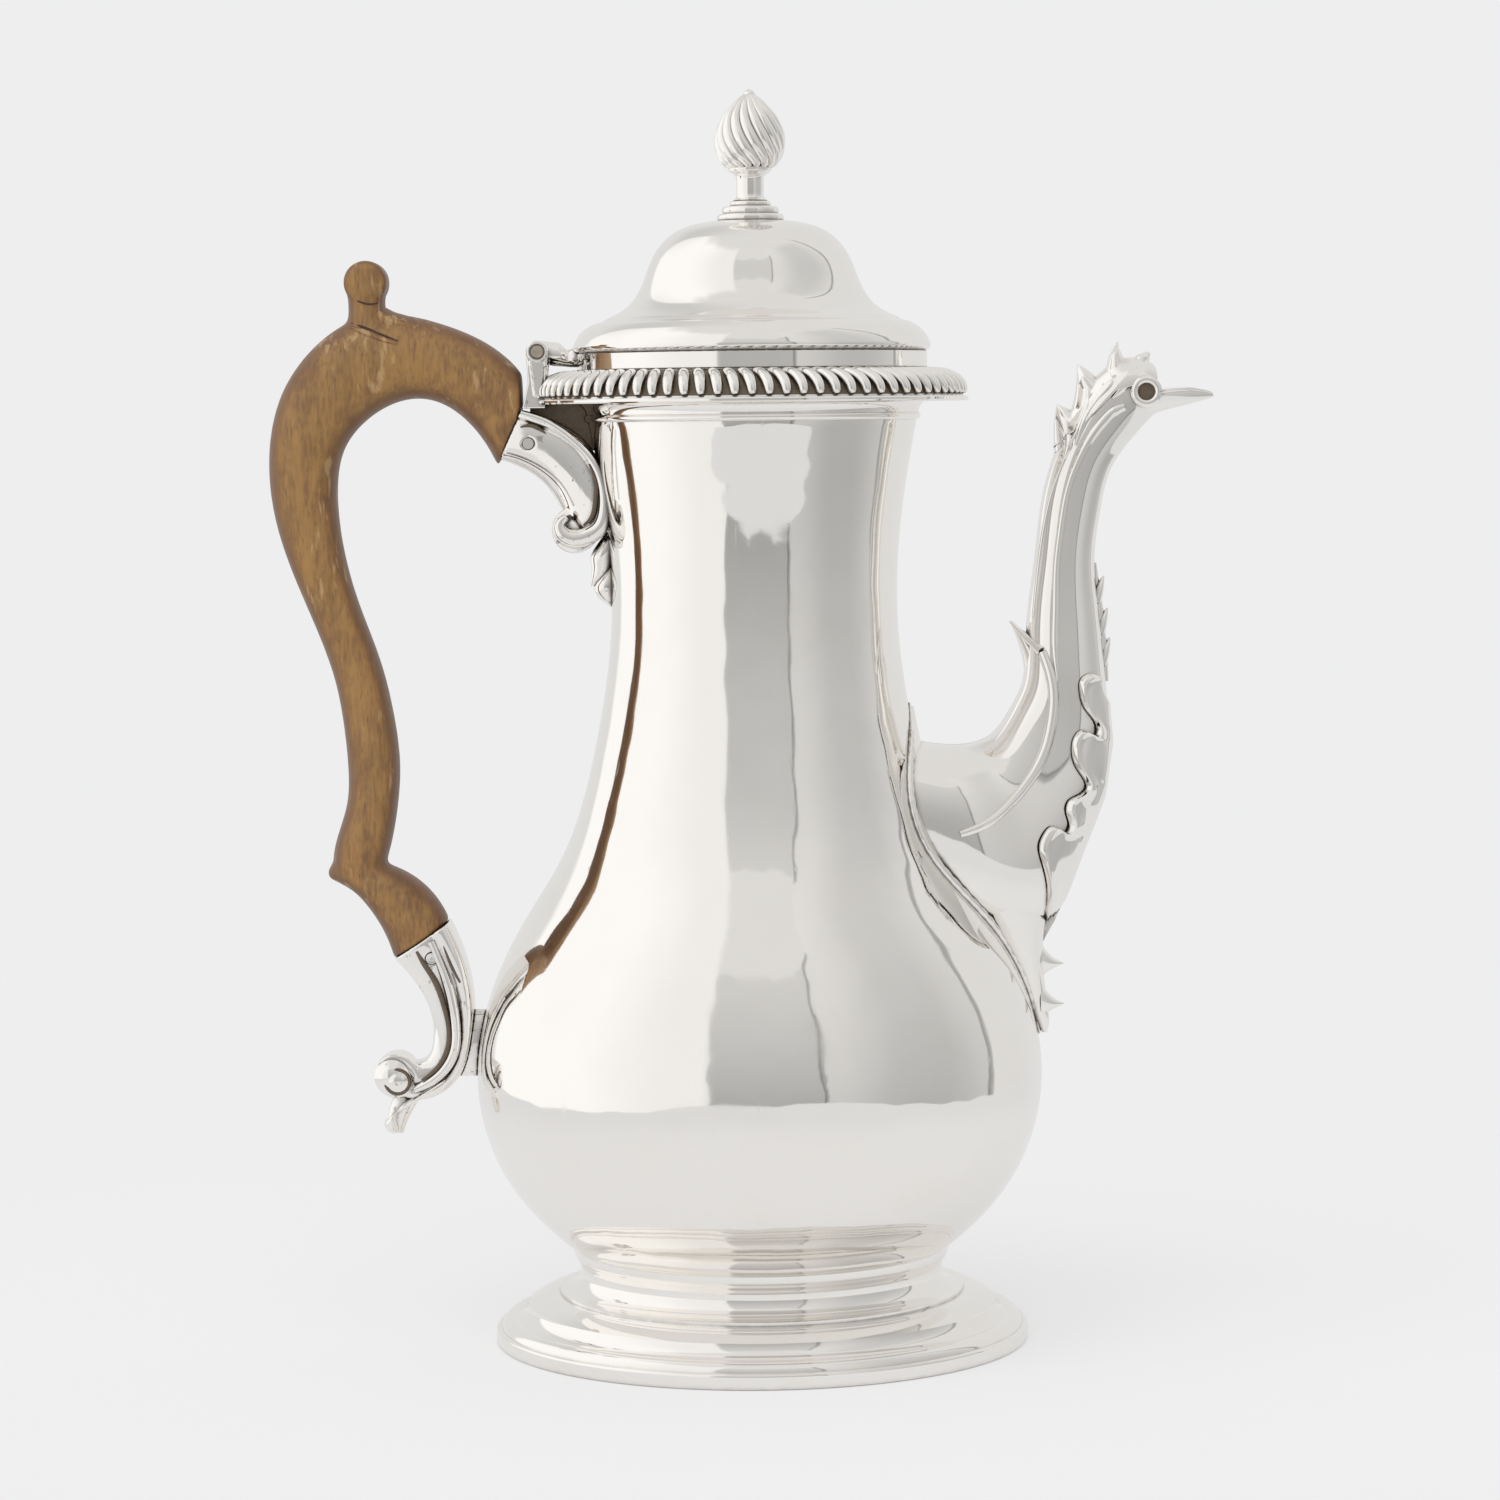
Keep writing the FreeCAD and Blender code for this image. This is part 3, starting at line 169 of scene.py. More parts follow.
BACKGROUND = (0.855, 0.855, 0.862, 1.0)
ROOM_WHITE = (1.0, 0.995, 0.985, 1.0)
PAPER_TOOTH = (0.8, 0.8, 0.8, 1.0)
SILVER_BLOOM = (0.80, 0.75, 0.68, 1.0)
SILVER_LINING = (0.5, 0.48, 0.45, 1.0)
SHADE_AND_CRUST = (0.2, 0.15, 0.1, 1.0)
PIN_DULL = (0.42, 0.36, 0.29, 1.0)
PIN_BRIGHT = (0.72, 0.66, 0.57, 1.0)
WOOD_MOTTLE = (0.34, 0.185, 0.045, 1.0)
WOOD_EDGE_SHADE = (0.115, 0.047, 0.019, 1.0)
WOOD_PORE = (0.085, 0.042, 0.018, 1.0)
WOOD_WORN = (0.46, 0.31, 0.15, 1.0)
WOOD_CREVICE_SHADE = (0.07, 0.035, 0.016, 1.0)
WOOD_FOLD_SHADE = (0.045, 0.022, 0.01, 1.0)


# Properties


class CoffeePotSizes(bpy.types.PropertyGroup):
    gadroons: IntProperty(
        name="Gadroons",
        description="Lobes round the rim border",
        default=80,
        min=24,
        max=160,
    )
    gadroon_slant: FloatProperty(
        name="Gadroon slant",
        description="Turn of each lobe from its inner to its outer end",
        default=math.radians(4.0),
        subtype="ANGLE",
    )
    gadroon_width: FloatProperty(
        name="Gadroon width",
        description="Half the width of one lobe",
        default=1.36 * MM,
        unit="LENGTH",
        precision=5,
    )
    bud_ribs: IntProperty(
        name="Bud ribs",
        description="Spiral ribs on the finial's bud",
        default=16,
        min=8,
        max=36,
    )
    bud_twist: FloatProperty(
        name="Bud twist",
        description="Turn of each rib from the bud's foot to its tip",
        default=math.radians(-70.0),
        subtype="ANGLE",
    )
    hammer_depth: FloatProperty(
        name="Hammer marks",
        description="Depth of the soft waves left by planishing",
        default=0.16 * MM,
        unit="LENGTH",
        precision=6,
    )


def colour_property(name, description, default):
    return FloatVectorProperty(name=name, description=description, subtype="COLOR", size=3, default=default)


class CoffeePotColours(bpy.types.PropertyGroup):
    silver: colour_property("Silver", "Polished silver", (0.93, 0.91, 0.88))
    # Colour of the dark deposit and of the painted shade in crevices, gaps and grooves
    tarnish_and_shade: colour_property("Tarnish", "Dark deposit in crevices", (0.10, 0.08, 0.065))
    wood_light: colour_property("Wood, light", "Pale grain", (0.29, 0.145, 0.034))
    wood_dark: colour_property("Wood, dark", "Dark grain", (0.14, 0.061, 0.015))
    floor: colour_property("Floor", "Paper sweep", (0.88, 0.88, 0.88))


# Shader maths


class Value:
    """A socket's value. Arithmetic on it adds Math nodes to its tree."""

    def __init__(self, paint, socket):
        self.paint = paint
        self.socket = socket

    def maths(self, operation, first, second):
        return self.paint.node("ShaderNodeMath", {"operation": operation}, {0: first, 1: second})

    def __add__(self, other):
        return self.maths("ADD", self, other)

    __radd__ = __add__

    def __sub__(self, other):
        return self.maths("SUBTRACT", self, other)

    def __rsub__(self, other):
        return self.maths("SUBTRACT", other, self)

    def __mul__(self, other):
        return self.maths("MULTIPLY", self, other)

    __rmul__ = __mul__


class Paint:
    """Adds nodes to one node tree."""

    def __init__(self, tree):
        self.tree = tree
        tree.nodes.clear()

    def node(self, kind, settings=None, sockets=None, output=0):
        made = self.tree.nodes.new(kind)
        for key, value in (settings or {}).items():
            setattr(made, key, value)
        for key, value in (sockets or {}).items():
            if isinstance(value, Value):
                self.tree.links.new(value.socket, made.inputs[key])
            else:
                made.inputs[key].default_value = value
        return Value(self, made.outputs[output]) if made.outputs else None

    def mix(self, factor, first, second):
        """A colour between two colours."""
        sockets = {0: factor, 6: first, 7: second}
        return self.node("ShaderNodeMix", {"data_type": "RGBA"}, sockets, 2)

    def remap(self, value, low, high, to_low=0.0, to_high=1.0):
        """A smooth step of a value between two levels."""
        sockets = {0: value, 1: low, 2: high, 3: to_low, 4: to_high}
        return self.node("ShaderNodeMapRange", {"interpolation_type": "SMOOTHSTEP"}, sockets)

    def noise(self, where, scale, detail, roughness=0.5, distortion=0.0):
        sockets = {"Vector": where, "Scale": scale, "Detail": detail}
        sockets.update({"Roughness": roughness, "Distortion": distortion})
        return self.node("ShaderNodeTexNoise", None, sockets)

    def place(self):
        """The point's place on the object's own axes, in metres."""
        return self.node("ShaderNodeTexCoord", None, None, "Object")

    def normal(self):
        return self.node("ShaderNodeNewGeometry", None, None, "Normal")

    def part(self, vector, axis):
        """One of a vector's X, Y and Z."""
        return self.node("ShaderNodeSeparateXYZ", None, {0: vector}, axis)

    def stretched(self, where, scale, rotation=(0.0, 0.0, 0.0)):
        """Places stretched and turned, for a pattern that runs one way."""
        return self.node("ShaderNodeMapping", None, {"Vector": where, "Scale": scale, "Rotation": rotation})

    def crevice(self, reach):
        """How far a point is shut in by what is within reach, from 0 in the open to 1."""
        return 1.0 - self.node("ShaderNodeAmbientOcclusion", {"samples": 6}, {"Distance": reach}, "AO")

    def ray(self, kind):
        """1 for rays of one kind, 0 for others."""
        return self.node("ShaderNodeLightPath", None, None, kind)

    def bump(self, height, distance, strength=1.0):
        sockets = {"Strength": strength, "Distance": distance, "Height": height}
        return self.node("ShaderNodeBump", None, sockets)

    def surface(self, sockets):
        """Ends the tree in one surface with these values."""
        shader = self.node("ShaderNodeBsdfPrincipled", None, sockets)
        self.node("ShaderNodeOutputMaterial", None, {"Surface": shader})


def opaque(colour):
    return (*colour, 1.0)


def new_material(name):
    material = bpy.data.materials.new(name)
    material.use_nodes = True
    return material, Paint(material.node_tree)


# Materials


def polished_silver(name, wave, tarnish_and_shade, reach, pitted=0.0, camber=0.0, lined=False):
    """Silver polished by hand, with soft hammer waves, faint scratches, and dark deposit and painted shade
    in the crevices.

    A camber leans the surface by a slope along X, and a lined vessel has a dull inside.
    """
    colours = bpy.context.scene.coffee_pot_colours
    sizes = bpy.context.scene.coffee_pot_sizes
    material, paint = new_material(name)
    where = paint.place()
    long_waves = paint.noise(where, 24.0, 0.0)
    short_waves = paint.noise(where, 78.0, 1.0)
    pits = paint.noise(where, 900.0, 2.0)
    rubbed = paint.stretched(where, (900.0, 900.0, 60.0), (0.3, 0.2, 0.0))
    scratches = paint.remap(paint.noise(rubbed, 1.0, 3.0), 0.62, 0.78)
    # Painted shade and deposit: occluded places turn towards the dark tarnish colour and grow rougher
    crevice = paint.crevice(reach * MM)
    deposit_and_shade = paint.remap(crevice + 0.25 * paint.noise(where, 420.0, 3.0) - 0.12, 0.24, 0.68) * tarnish_and_shade
    specks = paint.remap(paint.noise(where, 520.0, 2.5), 0.64, 0.72) * pitted
    deposit_and_shade = deposit_and_shade + specks * 0.75
    bloom = paint.remap(paint.noise(where, 60.0, 4.0), 0.45, 0.8)
    bright = paint.mix(bloom * 0.12, opaque(colours.silver), SILVER_BLOOM)
    colour = paint.mix(deposit_and_shade, bright, opaque(colours.tarnish_and_shade))
    rough = 0.045 + 0.05 * bloom + 0.10 * scratches + 0.32 * deposit_and_shade
    height = long_waves * 1.0 + short_waves * 0.3 + scratches * -0.004 + pits * 0.003 - 0.03 * specks
    metallic = 1.0
    if lined:
        middle = (0.0, 0.0, VESSEL_MIDDLE_Z * MM)
        away = paint.node("ShaderNodeVectorMath", {"operation": "SUBTRACT"}, {0: where, 1: middle})
        sockets = {0: paint.normal(), 1: away}
        outward = paint.node("ShaderNodeVectorMath", {"operation": "DOT_PRODUCT"}, sockets, "Value")
        inside = paint.node("ShaderNodeMath", {"operation": "LESS_THAN"}, {0: outward, 1: 0.0})
        colour = paint.mix(inside, colour, SILVER_LINING)
        rough = rough + 0.3 * inside
        metallic = 1.0 - 0.6 * inside
    depth = wave * sizes.hammer_depth * 3.0
    if camber:
        height = height + camber / depth * paint.part(where, "X")
    bump = paint.bump(height, depth)
    paint.surface({"Base Color": colour, "Metallic": metallic, "Roughness": rough, "Normal": bump})
    return material


def fruitwood(name):
    """Waxed fruitwood with upright grain, short dark pores, rubbed patches, and painted shade on its edges
    and in crevices.
    """
    colours = bpy.context.scene.coffee_pot_colours
    material, paint = new_material(name)
    where = paint.place()
    along = paint.stretched(where, (1.0, 1.0, 0.16), (0.0, 0.12, 0.0))
    bands = paint.noise(along, 170.0, 3.0, 0.6, 0.4)
    fibres = paint.noise(along, 1500.0, 2.0)
    pores = paint.remap(paint.noise(paint.stretched(where, (1.0, 1.0, 0.12)), 2600.0, 1.0), 0.66, 0.74)
    blotch = paint.remap(paint.noise(where, 34.0, 3.0), 0.3, 0.75)
    mottle = paint.remap(paint.noise(where, 300.0, 4.0, 0.6), 0.42, 0.68)
    grain = paint.remap(bands * 0.6 + fibres * 0.4, 0.36, 0.64)
    # Painted shade: the wood darkens where its surface turns away from the front, as if lit from the
    # camera's side
    facing = paint.part(paint.normal(), "Y")
    edge = 1.0 - paint.remap(facing * facing, 0.3, 0.97)
    slanted = paint.stretched(where, (1.0, 1.0, 0.22), (0.0, -0.35, 0.0))
    patches = paint.remap(paint.noise(where, 45.0, 1.0), 0.46, 0.6)
    worn = paint.remap(paint.noise(slanted, 520.0, 3.0), 0.58, 0.68) * patches
    # Painted shade in the crevices, from occlusion within 5 mm
    crevice = paint.remap(paint.crevice(5.0 * MM), 0.35, 0.9)
    wood = paint.mix(grain, opaque(colours.wood_dark), opaque(colours.wood_light))
    wood = paint.mix(blotch * 0.3 + mottle * 0.3, wood, WOOD_MOTTLE)
    wood = paint.mix(edge * 0.7, wood, WOOD_EDGE_SHADE)
    wood = paint.mix(pores * 0.5, wood, WOOD_PORE)
    wood = paint.mix(worn * 0.5, wood, WOOD_WORN)
    wood = paint.mix(crevice * 0.6, wood, WOOD_CREVICE_SHADE)
    rough = 0.42 + 0.14 * fibres + 0.10 * blotch
    dents = paint.noise(where, 110.0, 2.0)
    bump = paint.bump(fibres * 0.5 - pores + dents * 9.0, 0.05 * MM, 0.6)
    sockets = {"Base Color": wood, "Roughness": rough, "Normal": bump}
    paint.surface({**sockets, "Coat Weight": 0.3, "Coat Roughness": 0.3})
    return material


def dark_wood(name):
    """Painted shade: a dark wood colour for the bottom of a carved fold."""
    material, paint = new_material(name)
    paint.surface({"Base Color": WOOD_FOLD_SHADE, "Roughness": 0.6})
    return material


def shade_and_deposit_silver(name):
    """Dark silver under a thick deposit, used too as painted shade in gaps, grooves and hollows."""
    colours = bpy.context.scene.coffee_pot_colours
    material, paint = new_material(name)
    blotch = paint.noise(paint.place(), 900.0, 3.0)
    colour = paint.mix(blotch, opaque(colours.tarnish_and_shade), SHADE_AND_CRUST)
    paint.surface({"Base Color": colour, "Metallic": 0.6, "Roughness": 0.45 + 0.2 * blotch})
    return material


def pin_metal(name):
    """The hinge pin's dull yellowish end."""
    material, paint = new_material(name)
    wear = paint.noise(paint.place(), 900.0, 3.0)
    colour = paint.mix(wear, PIN_DULL, PIN_BRIGHT)
    bump = paint.bump(wear, 0.05 * MM, 0.4)
    paint.surface({"Base Color": colour, "Metallic": 1.0, "Roughness": 0.22 + 0.2 * wear, "Normal": bump})
    return material


def paper_floor(name):
    """Pale paper that keeps the shadow, lifted towards white where it is seen."""
    colours = bpy.context.scene.coffee_pot_colours
    material, paint = new_material(name)
    where = paint.place()
    tooth = paint.noise(where, 600.0, 2.0)
    colour = paint.mix(tooth * 0.04, opaque(colours.floor), PAPER_TOOTH)
    mirrored = paint.ray("Is Glossy Ray")
    seen = paint.ray("Is Camera Ray") + mirrored
    distance = paint.node("ShaderNodeVectorMath", {"operation": "LENGTH"}, {0: where}, "Value")
    far = paint.remap(distance, 0.11, 0.36)
    diffuse = paint.node("ShaderNodeBsdfDiffuse", None, {"Color": colour})
    lift = paint.node("ShaderNodeEmission", None, {"Color": BACKGROUND, "Strength": 1.0 - 0.1 * mirrored})
    shown = paint.node("ShaderNodeMixShader", None, {0: seen * (0.6 + 0.4 * far), 1: diffuse, 2: lift})
    paint.node("ShaderNodeOutputMaterial", None, {"Surface": shown})
    return material


# Mesh helpers


def smooth_curve(points, steps):
    """A cubic curve through the points, by chord length, with free ends."""
    points = np.array(points, float)
    chord = np.sqrt(((points[1:] - points[:-1]) ** 2).sum(1))
    count = len(points)
    system = np.eye(count)
    target = np.zeros_like(points)
    for i in range(1, count - 1):
        before, after = chord[i - 1], chord[i]
        system[i, i - 1 : i + 2] = (before, 2 * (before + after), after)
        target[i] = 6 * ((points[i + 1] - points[i]) / after - (points[i] - points[i - 1]) / before)
    bend = np.linalg.solve(system, target)
    rows = []
    for i, span in enumerate(chord):
        for step in range(steps + (i == count - 2)):
            a = 1 - step / steps
            b = step / steps
            row = a * points[i] + b * points[i + 1]
            rows.append(row + ((a**3 - a) * bend[i] + (b**3 - b) * bend[i + 1]) * span**2 / 6)
    return [tuple(row) for row in rows]


def arc_curve(first, middle, last, steps=12):
    """An arc through three points of a profile."""
    a, b, c = (complex(*p) for p in (first, middle, last))
    w = (c - a) / (b - a)
    centre = a - (a - b) * (w - abs(w) ** 2) / (2j * w.imag)
    start = np.angle(a - centre)
    through = (np.angle(b - centre) - start) % (2 * math.pi)
    sweep = (np.angle(c - centre) - start) % (2 * math.pi)
    if through > sweep:
        sweep -= 2 * math.pi
    turns = [start + sweep * step / steps for step in range(steps + 1)]
    radius = abs(a - centre)
    return [(centre.real + radius * math.cos(t), centre.imag + radius * math.sin(t)) for t in turns]


def coat(mesh, material):
    """Gives a mesh one material in place of any it has."""
    mesh.materials.clear()
    mesh.materials.append(material)


def object_from(name, mesh, material):
    piece = bpy.data.objects.new(name, mesh)
    bpy.context.scene.collection.objects.link(piece)
    coat(mesh, material)
    return piece


def closed_up(mesh):
    """Merges doubles and turns the faces outwards."""
    merge = MERGE_MM * MM
    form = bmesh.new()
    form.from_mesh(mesh)
    bmesh.ops.remove_doubles(form, verts=form.verts, dist=merge)
    bmesh.ops.dissolve_degenerate(form, edges=form.edges, dist=merge)
    bmesh.ops.recalc_face_normals(form, faces=form.faces)
    form.to_mesh(mesh)
    form.free()


def shade(mesh, sharp_deg=SHARP_DEG):
    """Smooth shading that breaks at sharp edges."""
    mesh.polygons.foreach_set("use_smooth", np.ones(len(mesh.polygons), bool))
    mesh.set_sharp_from_angle(angle=math.radians(sharp_deg))


def grid_faces(rows, columns, wrap_rows, wrap_columns):
    faces = []
    for i in range(rows if wrap_rows else rows - 1):
        for j in range(columns if wrap_columns else columns - 1):
            a, b = i, (i + 1) % rows
            c, d = j, (j + 1) % columns
            faces.append((a * columns + c, a * columns + d, b * columns + d, b * columns + c))
    return faces


def tube_faces(rows, sides):
    """The faces of a tube of rings, with both ends shut."""
    ends = [tuple(range(sides)), tuple((rows - 1) * sides + i for i in range(sides))]
    return grid_faces(rows, sides, False, True) + ends


def turned(name, outline, material, sharp_deg=SHARP_DEG):
    """A closed outline of radius and height, in millimetres, turned about the pot's axis."""
    outline = np.array(outline)
    turns = np.linspace(0, 2 * math.pi, TURNED_SEGMENTS, endpoint=False)
    x = outline[:, :1] * np.cos(turns)
    y = outline[:, :1] * np.sin(turns)
    z = np.repeat(outline[:, 1:], TURNED_SEGMENTS, 1)
    points = np.stack([x, y, z], -1).reshape(-1, 3) * MM
    mesh = bpy.data.meshes.new(name)
    mesh.from_pydata(points.tolist(), [], grid_faces(len(outline), TURNED_SEGMENTS, True, True))
    closed_up(mesh)
    shade(mesh, sharp_deg)
    return object_from(name, mesh, material)


def plain_mesh(piece):
    """Turns a piece's modifiers into a plain mesh on the same object."""
    evaluated = piece.evaluated_get(bpy.context.evaluated_depsgraph_get())
    mesh = bpy.data.meshes.new_from_object(evaluated)
    piece.modifiers.clear()
    piece.data = mesh
    return piece


def strained(vessel):
    """The vessel with its seven strainer holes drilled behind the spout."""
    holes = bmesh.new()
    spots = [(0.0, 0.0)]
    for step in range(6):
        turn = step * math.pi / 3
        spots.append((STRAINER_PITCH * math.cos(turn), STRAINER_PITCH * math.sin(turn)))
    for y, rise in spots:
        place = Matrix.Translation(Vector((SPOUT_ROOT_X, y, STRAINER_Z + rise)) * MM)
        place = place @ Matrix.Rotation(math.pi / 2, 4, "Y")
        radius = STRAINER_HOLE_R * MM
        size = {"radius1": radius, "radius2": radius, "depth": STRAINER_DRILL * MM}
        bmesh.ops.create_cone(holes, cap_ends=True, segments=24, matrix=place, **size)
    mesh = bpy.data.meshes.new("strainer_drills")
    holes.to_mesh(mesh)
    holes.free()
    drills = object_from("strainer_drills", mesh, vessel.data.materials[0])
    cutter = vessel.modifiers.new("strainer", "BOOLEAN")
    cutter.object = drills
    cutter.operation = "DIFFERENCE"
    cutter.solver = "EXACT"
    plain_mesh(vessel)
    bpy.data.objects.remove(drills)
    shade(vessel.data)
    return vessel


def cast_copy(name, node, material, voxel_mm, rounds):
    """A fine copy of a CAD piece with evenly small faces and softened edges, as a casting has."""
    form = bmesh.new()
    form.from_mesh(frame["nodes"][node].data)
    bmesh.ops.remove_doubles(form, verts=form.verts, dist=0.001 * MM)
    mesh = bpy.data.meshes.new(name)
    form.to_mesh(mesh)
    form.free()
    piece = object_from(name, mesh, material)
    remesh = piece.modifiers.new("even", "REMESH")
    remesh.mode = "VOXEL"
    remesh.voxel_size = voxel_mm * MM
    soften = piece.modifiers.new("soften", "SMOOTH")
    soften.factor = 0.5
    soften.iterations = rounds
    plain_mesh(piece)
    coat(piece.data, material)
    shade(piece.data, CAST_SHARP_DEG)
    return piece


def fit(piece, body, slot, *nodes):
    """Attaches a finished piece to the body it rides on and hides the nodes it stands for; the slot is not
    used.
    """
    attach(piece, body)
    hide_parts(*nodes)


# Outlines of the turned pieces, as (radius, height) in millimetres


def body_side():
    """The vessel's outer side from the foot to the collar."""
    points = [(FOOT_TOP_R, FOOT_TOP_Z)]
    for share, height in ((0.46, 0.235), (0.82, 0.54), (1.0, 1.0)):
        radius = FOOT_TOP_R + share * (BELLY_R - FOOT_TOP_R)
        points.append((radius, FOOT_TOP_Z + height * (BELLY_Z - FOOT_TOP_Z)))
    for share, height in ((0.93, 0.15), (0.665, 0.335), (0.365, 0.49), (0.13, 0.72), (0.0, 1.0)):
        points.append((NECK_R + share * (BELLY_R - NECK_R), BELLY_Z + height * (NECK_Z - BELLY_Z)))
    points.append((NECK_R + 0.25 * (COLLAR_R - NECK_R), NECK_Z + 0.55 * (COLLAR_Z - NECK_Z)))
    points.append((COLLAR_R, COLLAR_Z))
    return smooth_curve(points, 14)


def vessel_radius(z):
    """The vessel's outer radius at a height or at each height of an array."""
    radii, heights = zip(*body_side())
    return np.interp(z, heights, radii)


def inside_of(curve, distance):
    """The curve moved inwards, to the left of its direction of travel."""
    rows = np.array(curve)
    along = np.gradient(rows, axis=0)
    along /= np.linalg.norm(along, axis=1)[:, None]
    return [tuple(p) for p in rows + np.stack([-along[:, 1], along[:, 0]], 1) * distance]


def body_outline():
    side = body_side()
    inner = inside_of(side, BODY_WALL)
    bottom = FOOT_TOP_Z - BODY_SAG
    rest = bottom + BODY_WALL
    outside = arc_curve((0, bottom), (0.5 * FOOT_TOP_R, bottom + 0.25 * BODY_SAG), side[0])[:-1]
    inside = arc_curve((0, rest), (0.5 * inner[0][0], rest + 0.25 * (inner[0][1] - rest)), inner[0])[:-1]
    rim = [(COLLAR_R, MOUTH_Z - 0.2), (COLLAR_R - 0.2, MOUTH_Z)]
    rim += [(COLLAR_R - BODY_WALL + 0.2, MOUTH_Z), (COLLAR_R - BODY_WALL, MOUTH_Z - 0.2)]
    return outside + side + rim + inner[::-1] + inside[::-1]


def foot_outline():
    top = FOOT_TOP_Z
    step = 0.56 * top
    shoulder = 0.41 * top
    cove = FOOT_BAND_TOP + 2.0
    edge = FOOT_BAND_R - 1.2
    outer = [(FOOT_TOP_R, top + 1.0)]
    outer += arc_curve((FOOT_TOP_R, top), (FOOT_TOP_R - 0.2, 0.93 * top), (FOOT_NECK_R + 0.5, 0.86 * top))
    outer += arc_curve((FOOT_NECK_R + 0.5, 0.86 * top), (FOOT_NECK_R, 0.73 * top), (FOOT_STEP_R, step))[1:]
    crest = (0.45 * FOOT_STEP_R + 0.55 * FOOT_SHOULDER_R, shoulder + 1.7)
    outer += arc_curve((FOOT_STEP_R, step - 0.8), crest, (FOOT_SHOULDER_R, shoulder))
    hollow = (0.7 * FOOT_SHOULDER_R + 0.3 * FOOT_COVE_R, 0.6 * cove + 0.4 * shoulder)
    outer += arc_curve((FOOT_SHOULDER_R, shoulder), hollow, (FOOT_COVE_R, cove))[1:]
    outer += arc_curve((FOOT_COVE_R, cove), (edge - 0.9, cove - 0.4), (edge, FOOT_BAND_TOP))[1:]
    inner = [
        (FOOT_BAND_R - FOOT_BAND_WALL, FOOT_BAND_TOP),
        (FOOT_COVE_R - FOOT_SHEET, cove - FOOT_SHEET),
        (FOOT_SHOULDER_R - FOOT_SHEET, shoulder - FOOT_SHEET),
        (FOOT_STEP_R - FOOT_SHEET, step - FOOT_SHEET),
        (FOOT_NECK_R - FOOT_SHEET, 0.7 * top),
        (FOOT_TOP_R - FOOT_SHEET, top + 1.0),
    ]
    return outer + inner


def foot_band_outline():
    inner = FOOT_BAND_R - FOOT_BAND_WALL
    corner = FOOT_BAND_R - FOOT_BAND_ROUND
    spread = FOOT_BAND_ROUND * math.sqrt(0.5)
    low = FOOT_BAND_TOP - FOOT_BAND_ROUND
    edge = arc_curve((FOOT_BAND_R, low), (corner + spread, low + spread), (corner, FOOT_BAND_TOP), 6)
    return [(inner, 0.0), (FOOT_BAND_R - 0.25, 0.0), (FOOT_BAND_R, 0.25)] + edge + [(inner, FOOT_BAND_TOP)]


def moulding_outline():
    ring_top = COLLAR_Z + MOULDING_RING
    start = (COLLAR_R + 0.5, ring_top)
    cove = (COLLAR_R + 0.35 * (MOULDING_R - COLLAR_R) + 0.2, 0.4 * ring_top + 0.6 * MOULDING_TOP)
    edge = arc_curve((COLLAR_R, COLLAR_Z), (COLLAR_R + 0.9, COLLAR_Z + 0.8), start)
    edge += arc_curve(start, cove, (MOULDING_R, MOULDING_TOP))[1:]
    return [(COLLAR_R - 0.1, MOULDING_TOP), (COLLAR_R - 0.1, COLLAR_Z)] + edge


def border_outline():
    """The border's plain lip and the slope that carries its lobes."""
    lip_top = BORDER_LIP_TOP
    inner = MOULDING_R + 0.4
    swell = (BORDER_R - 2.6, lip_top + 2.6)
    slope = arc_curve((BORDER_R - 1.0, lip_top), swell, (LEDGE_R - 0.6, MOUTH_Z - 0.5))
    edge = [(inner, MOULDING_TOP), (BORDER_R - 0.3, MOULDING_TOP), (BORDER_R, MOULDING_TOP + 0.3)]
    edge += [(BORDER_R, lip_top - 0.25), (BORDER_R - 0.25, lip_top)]
    return edge + slope + [(COLLAR_R, MOUTH_Z - 0.4), (COLLAR_R, MOULDING_TOP)]


def gap_outline():
    """A dark sheet on the slope between the lobes: painted shade and deposit."""
    low = (BORDER_R - 1.2, BORDER_LIP_TOP + 0.45)
    swell = (BORDER_R - 2.5, BORDER_LIP_TOP + 2.7)
    slope = arc_curve(low, swell, (LEDGE_R - 0.2, MOUTH_Z - 0.4))
    return slope + [(r - 0.2, z - 0.3) for r, z in slope[::-1]]


def dome_side():
    rise = CROWN_Z - LID_STEP_Z
    points = [(LID_STEP_R, LID_STEP_Z), (0.6 * LID_DOME_R + 0.4 * LID_STEP_R, LID_STEP_Z + 0.13 * rise)]
    for share, height in ((1.0, 0.36), (0.9, 0.63), (0.7, 0.87), (0.42, 0.97), (0.12, 0.998), (0.0, 1.0)):
        points.append((share * LID_DOME_R, LID_STEP_Z + height * rise))
    return smooth_curve(points, 12)


def dome_outline():
    side = dome_side()
    inner = inside_of(side, LID_SHEET)
    inner[-1] = (0.0, CROWN_Z - LID_SHEET)
    inner = [p for p in inner if p[0] >= 0]
    flange_top = (LID_STEP_R + 0.9, LID_STEP_Z - 0.7)
    swell = (0.3 * LID_STEP_R + 0.7 * FLANGE_R, LID_STEP_Z - 2.6)
    band_in = LID_BAND_R - LID_BAND_WALL
    low = arc_curve((LID_BAND_R, FLANGE_Z), (FLANGE_R, FLANGE_Z + 0.8), (FLANGE_R - 0.1, FLANGE_Z + 1.6), 8)
    flange = low + arc_curve((FLANGE_R - 0.1, FLANGE_Z + 1.6), swell, flange_top)[1:]
    bulge = (0.4 * inner[0][0] + 0.6 * band_in, FLANGE_Z + 0.72 * (inner[0][1] - FLANGE_Z))
    hollow = arc_curve((band_in, FLANGE_Z), bulge, inner[0])[:-1]
    return flange + side + inner[::-1] + hollow[::-1]


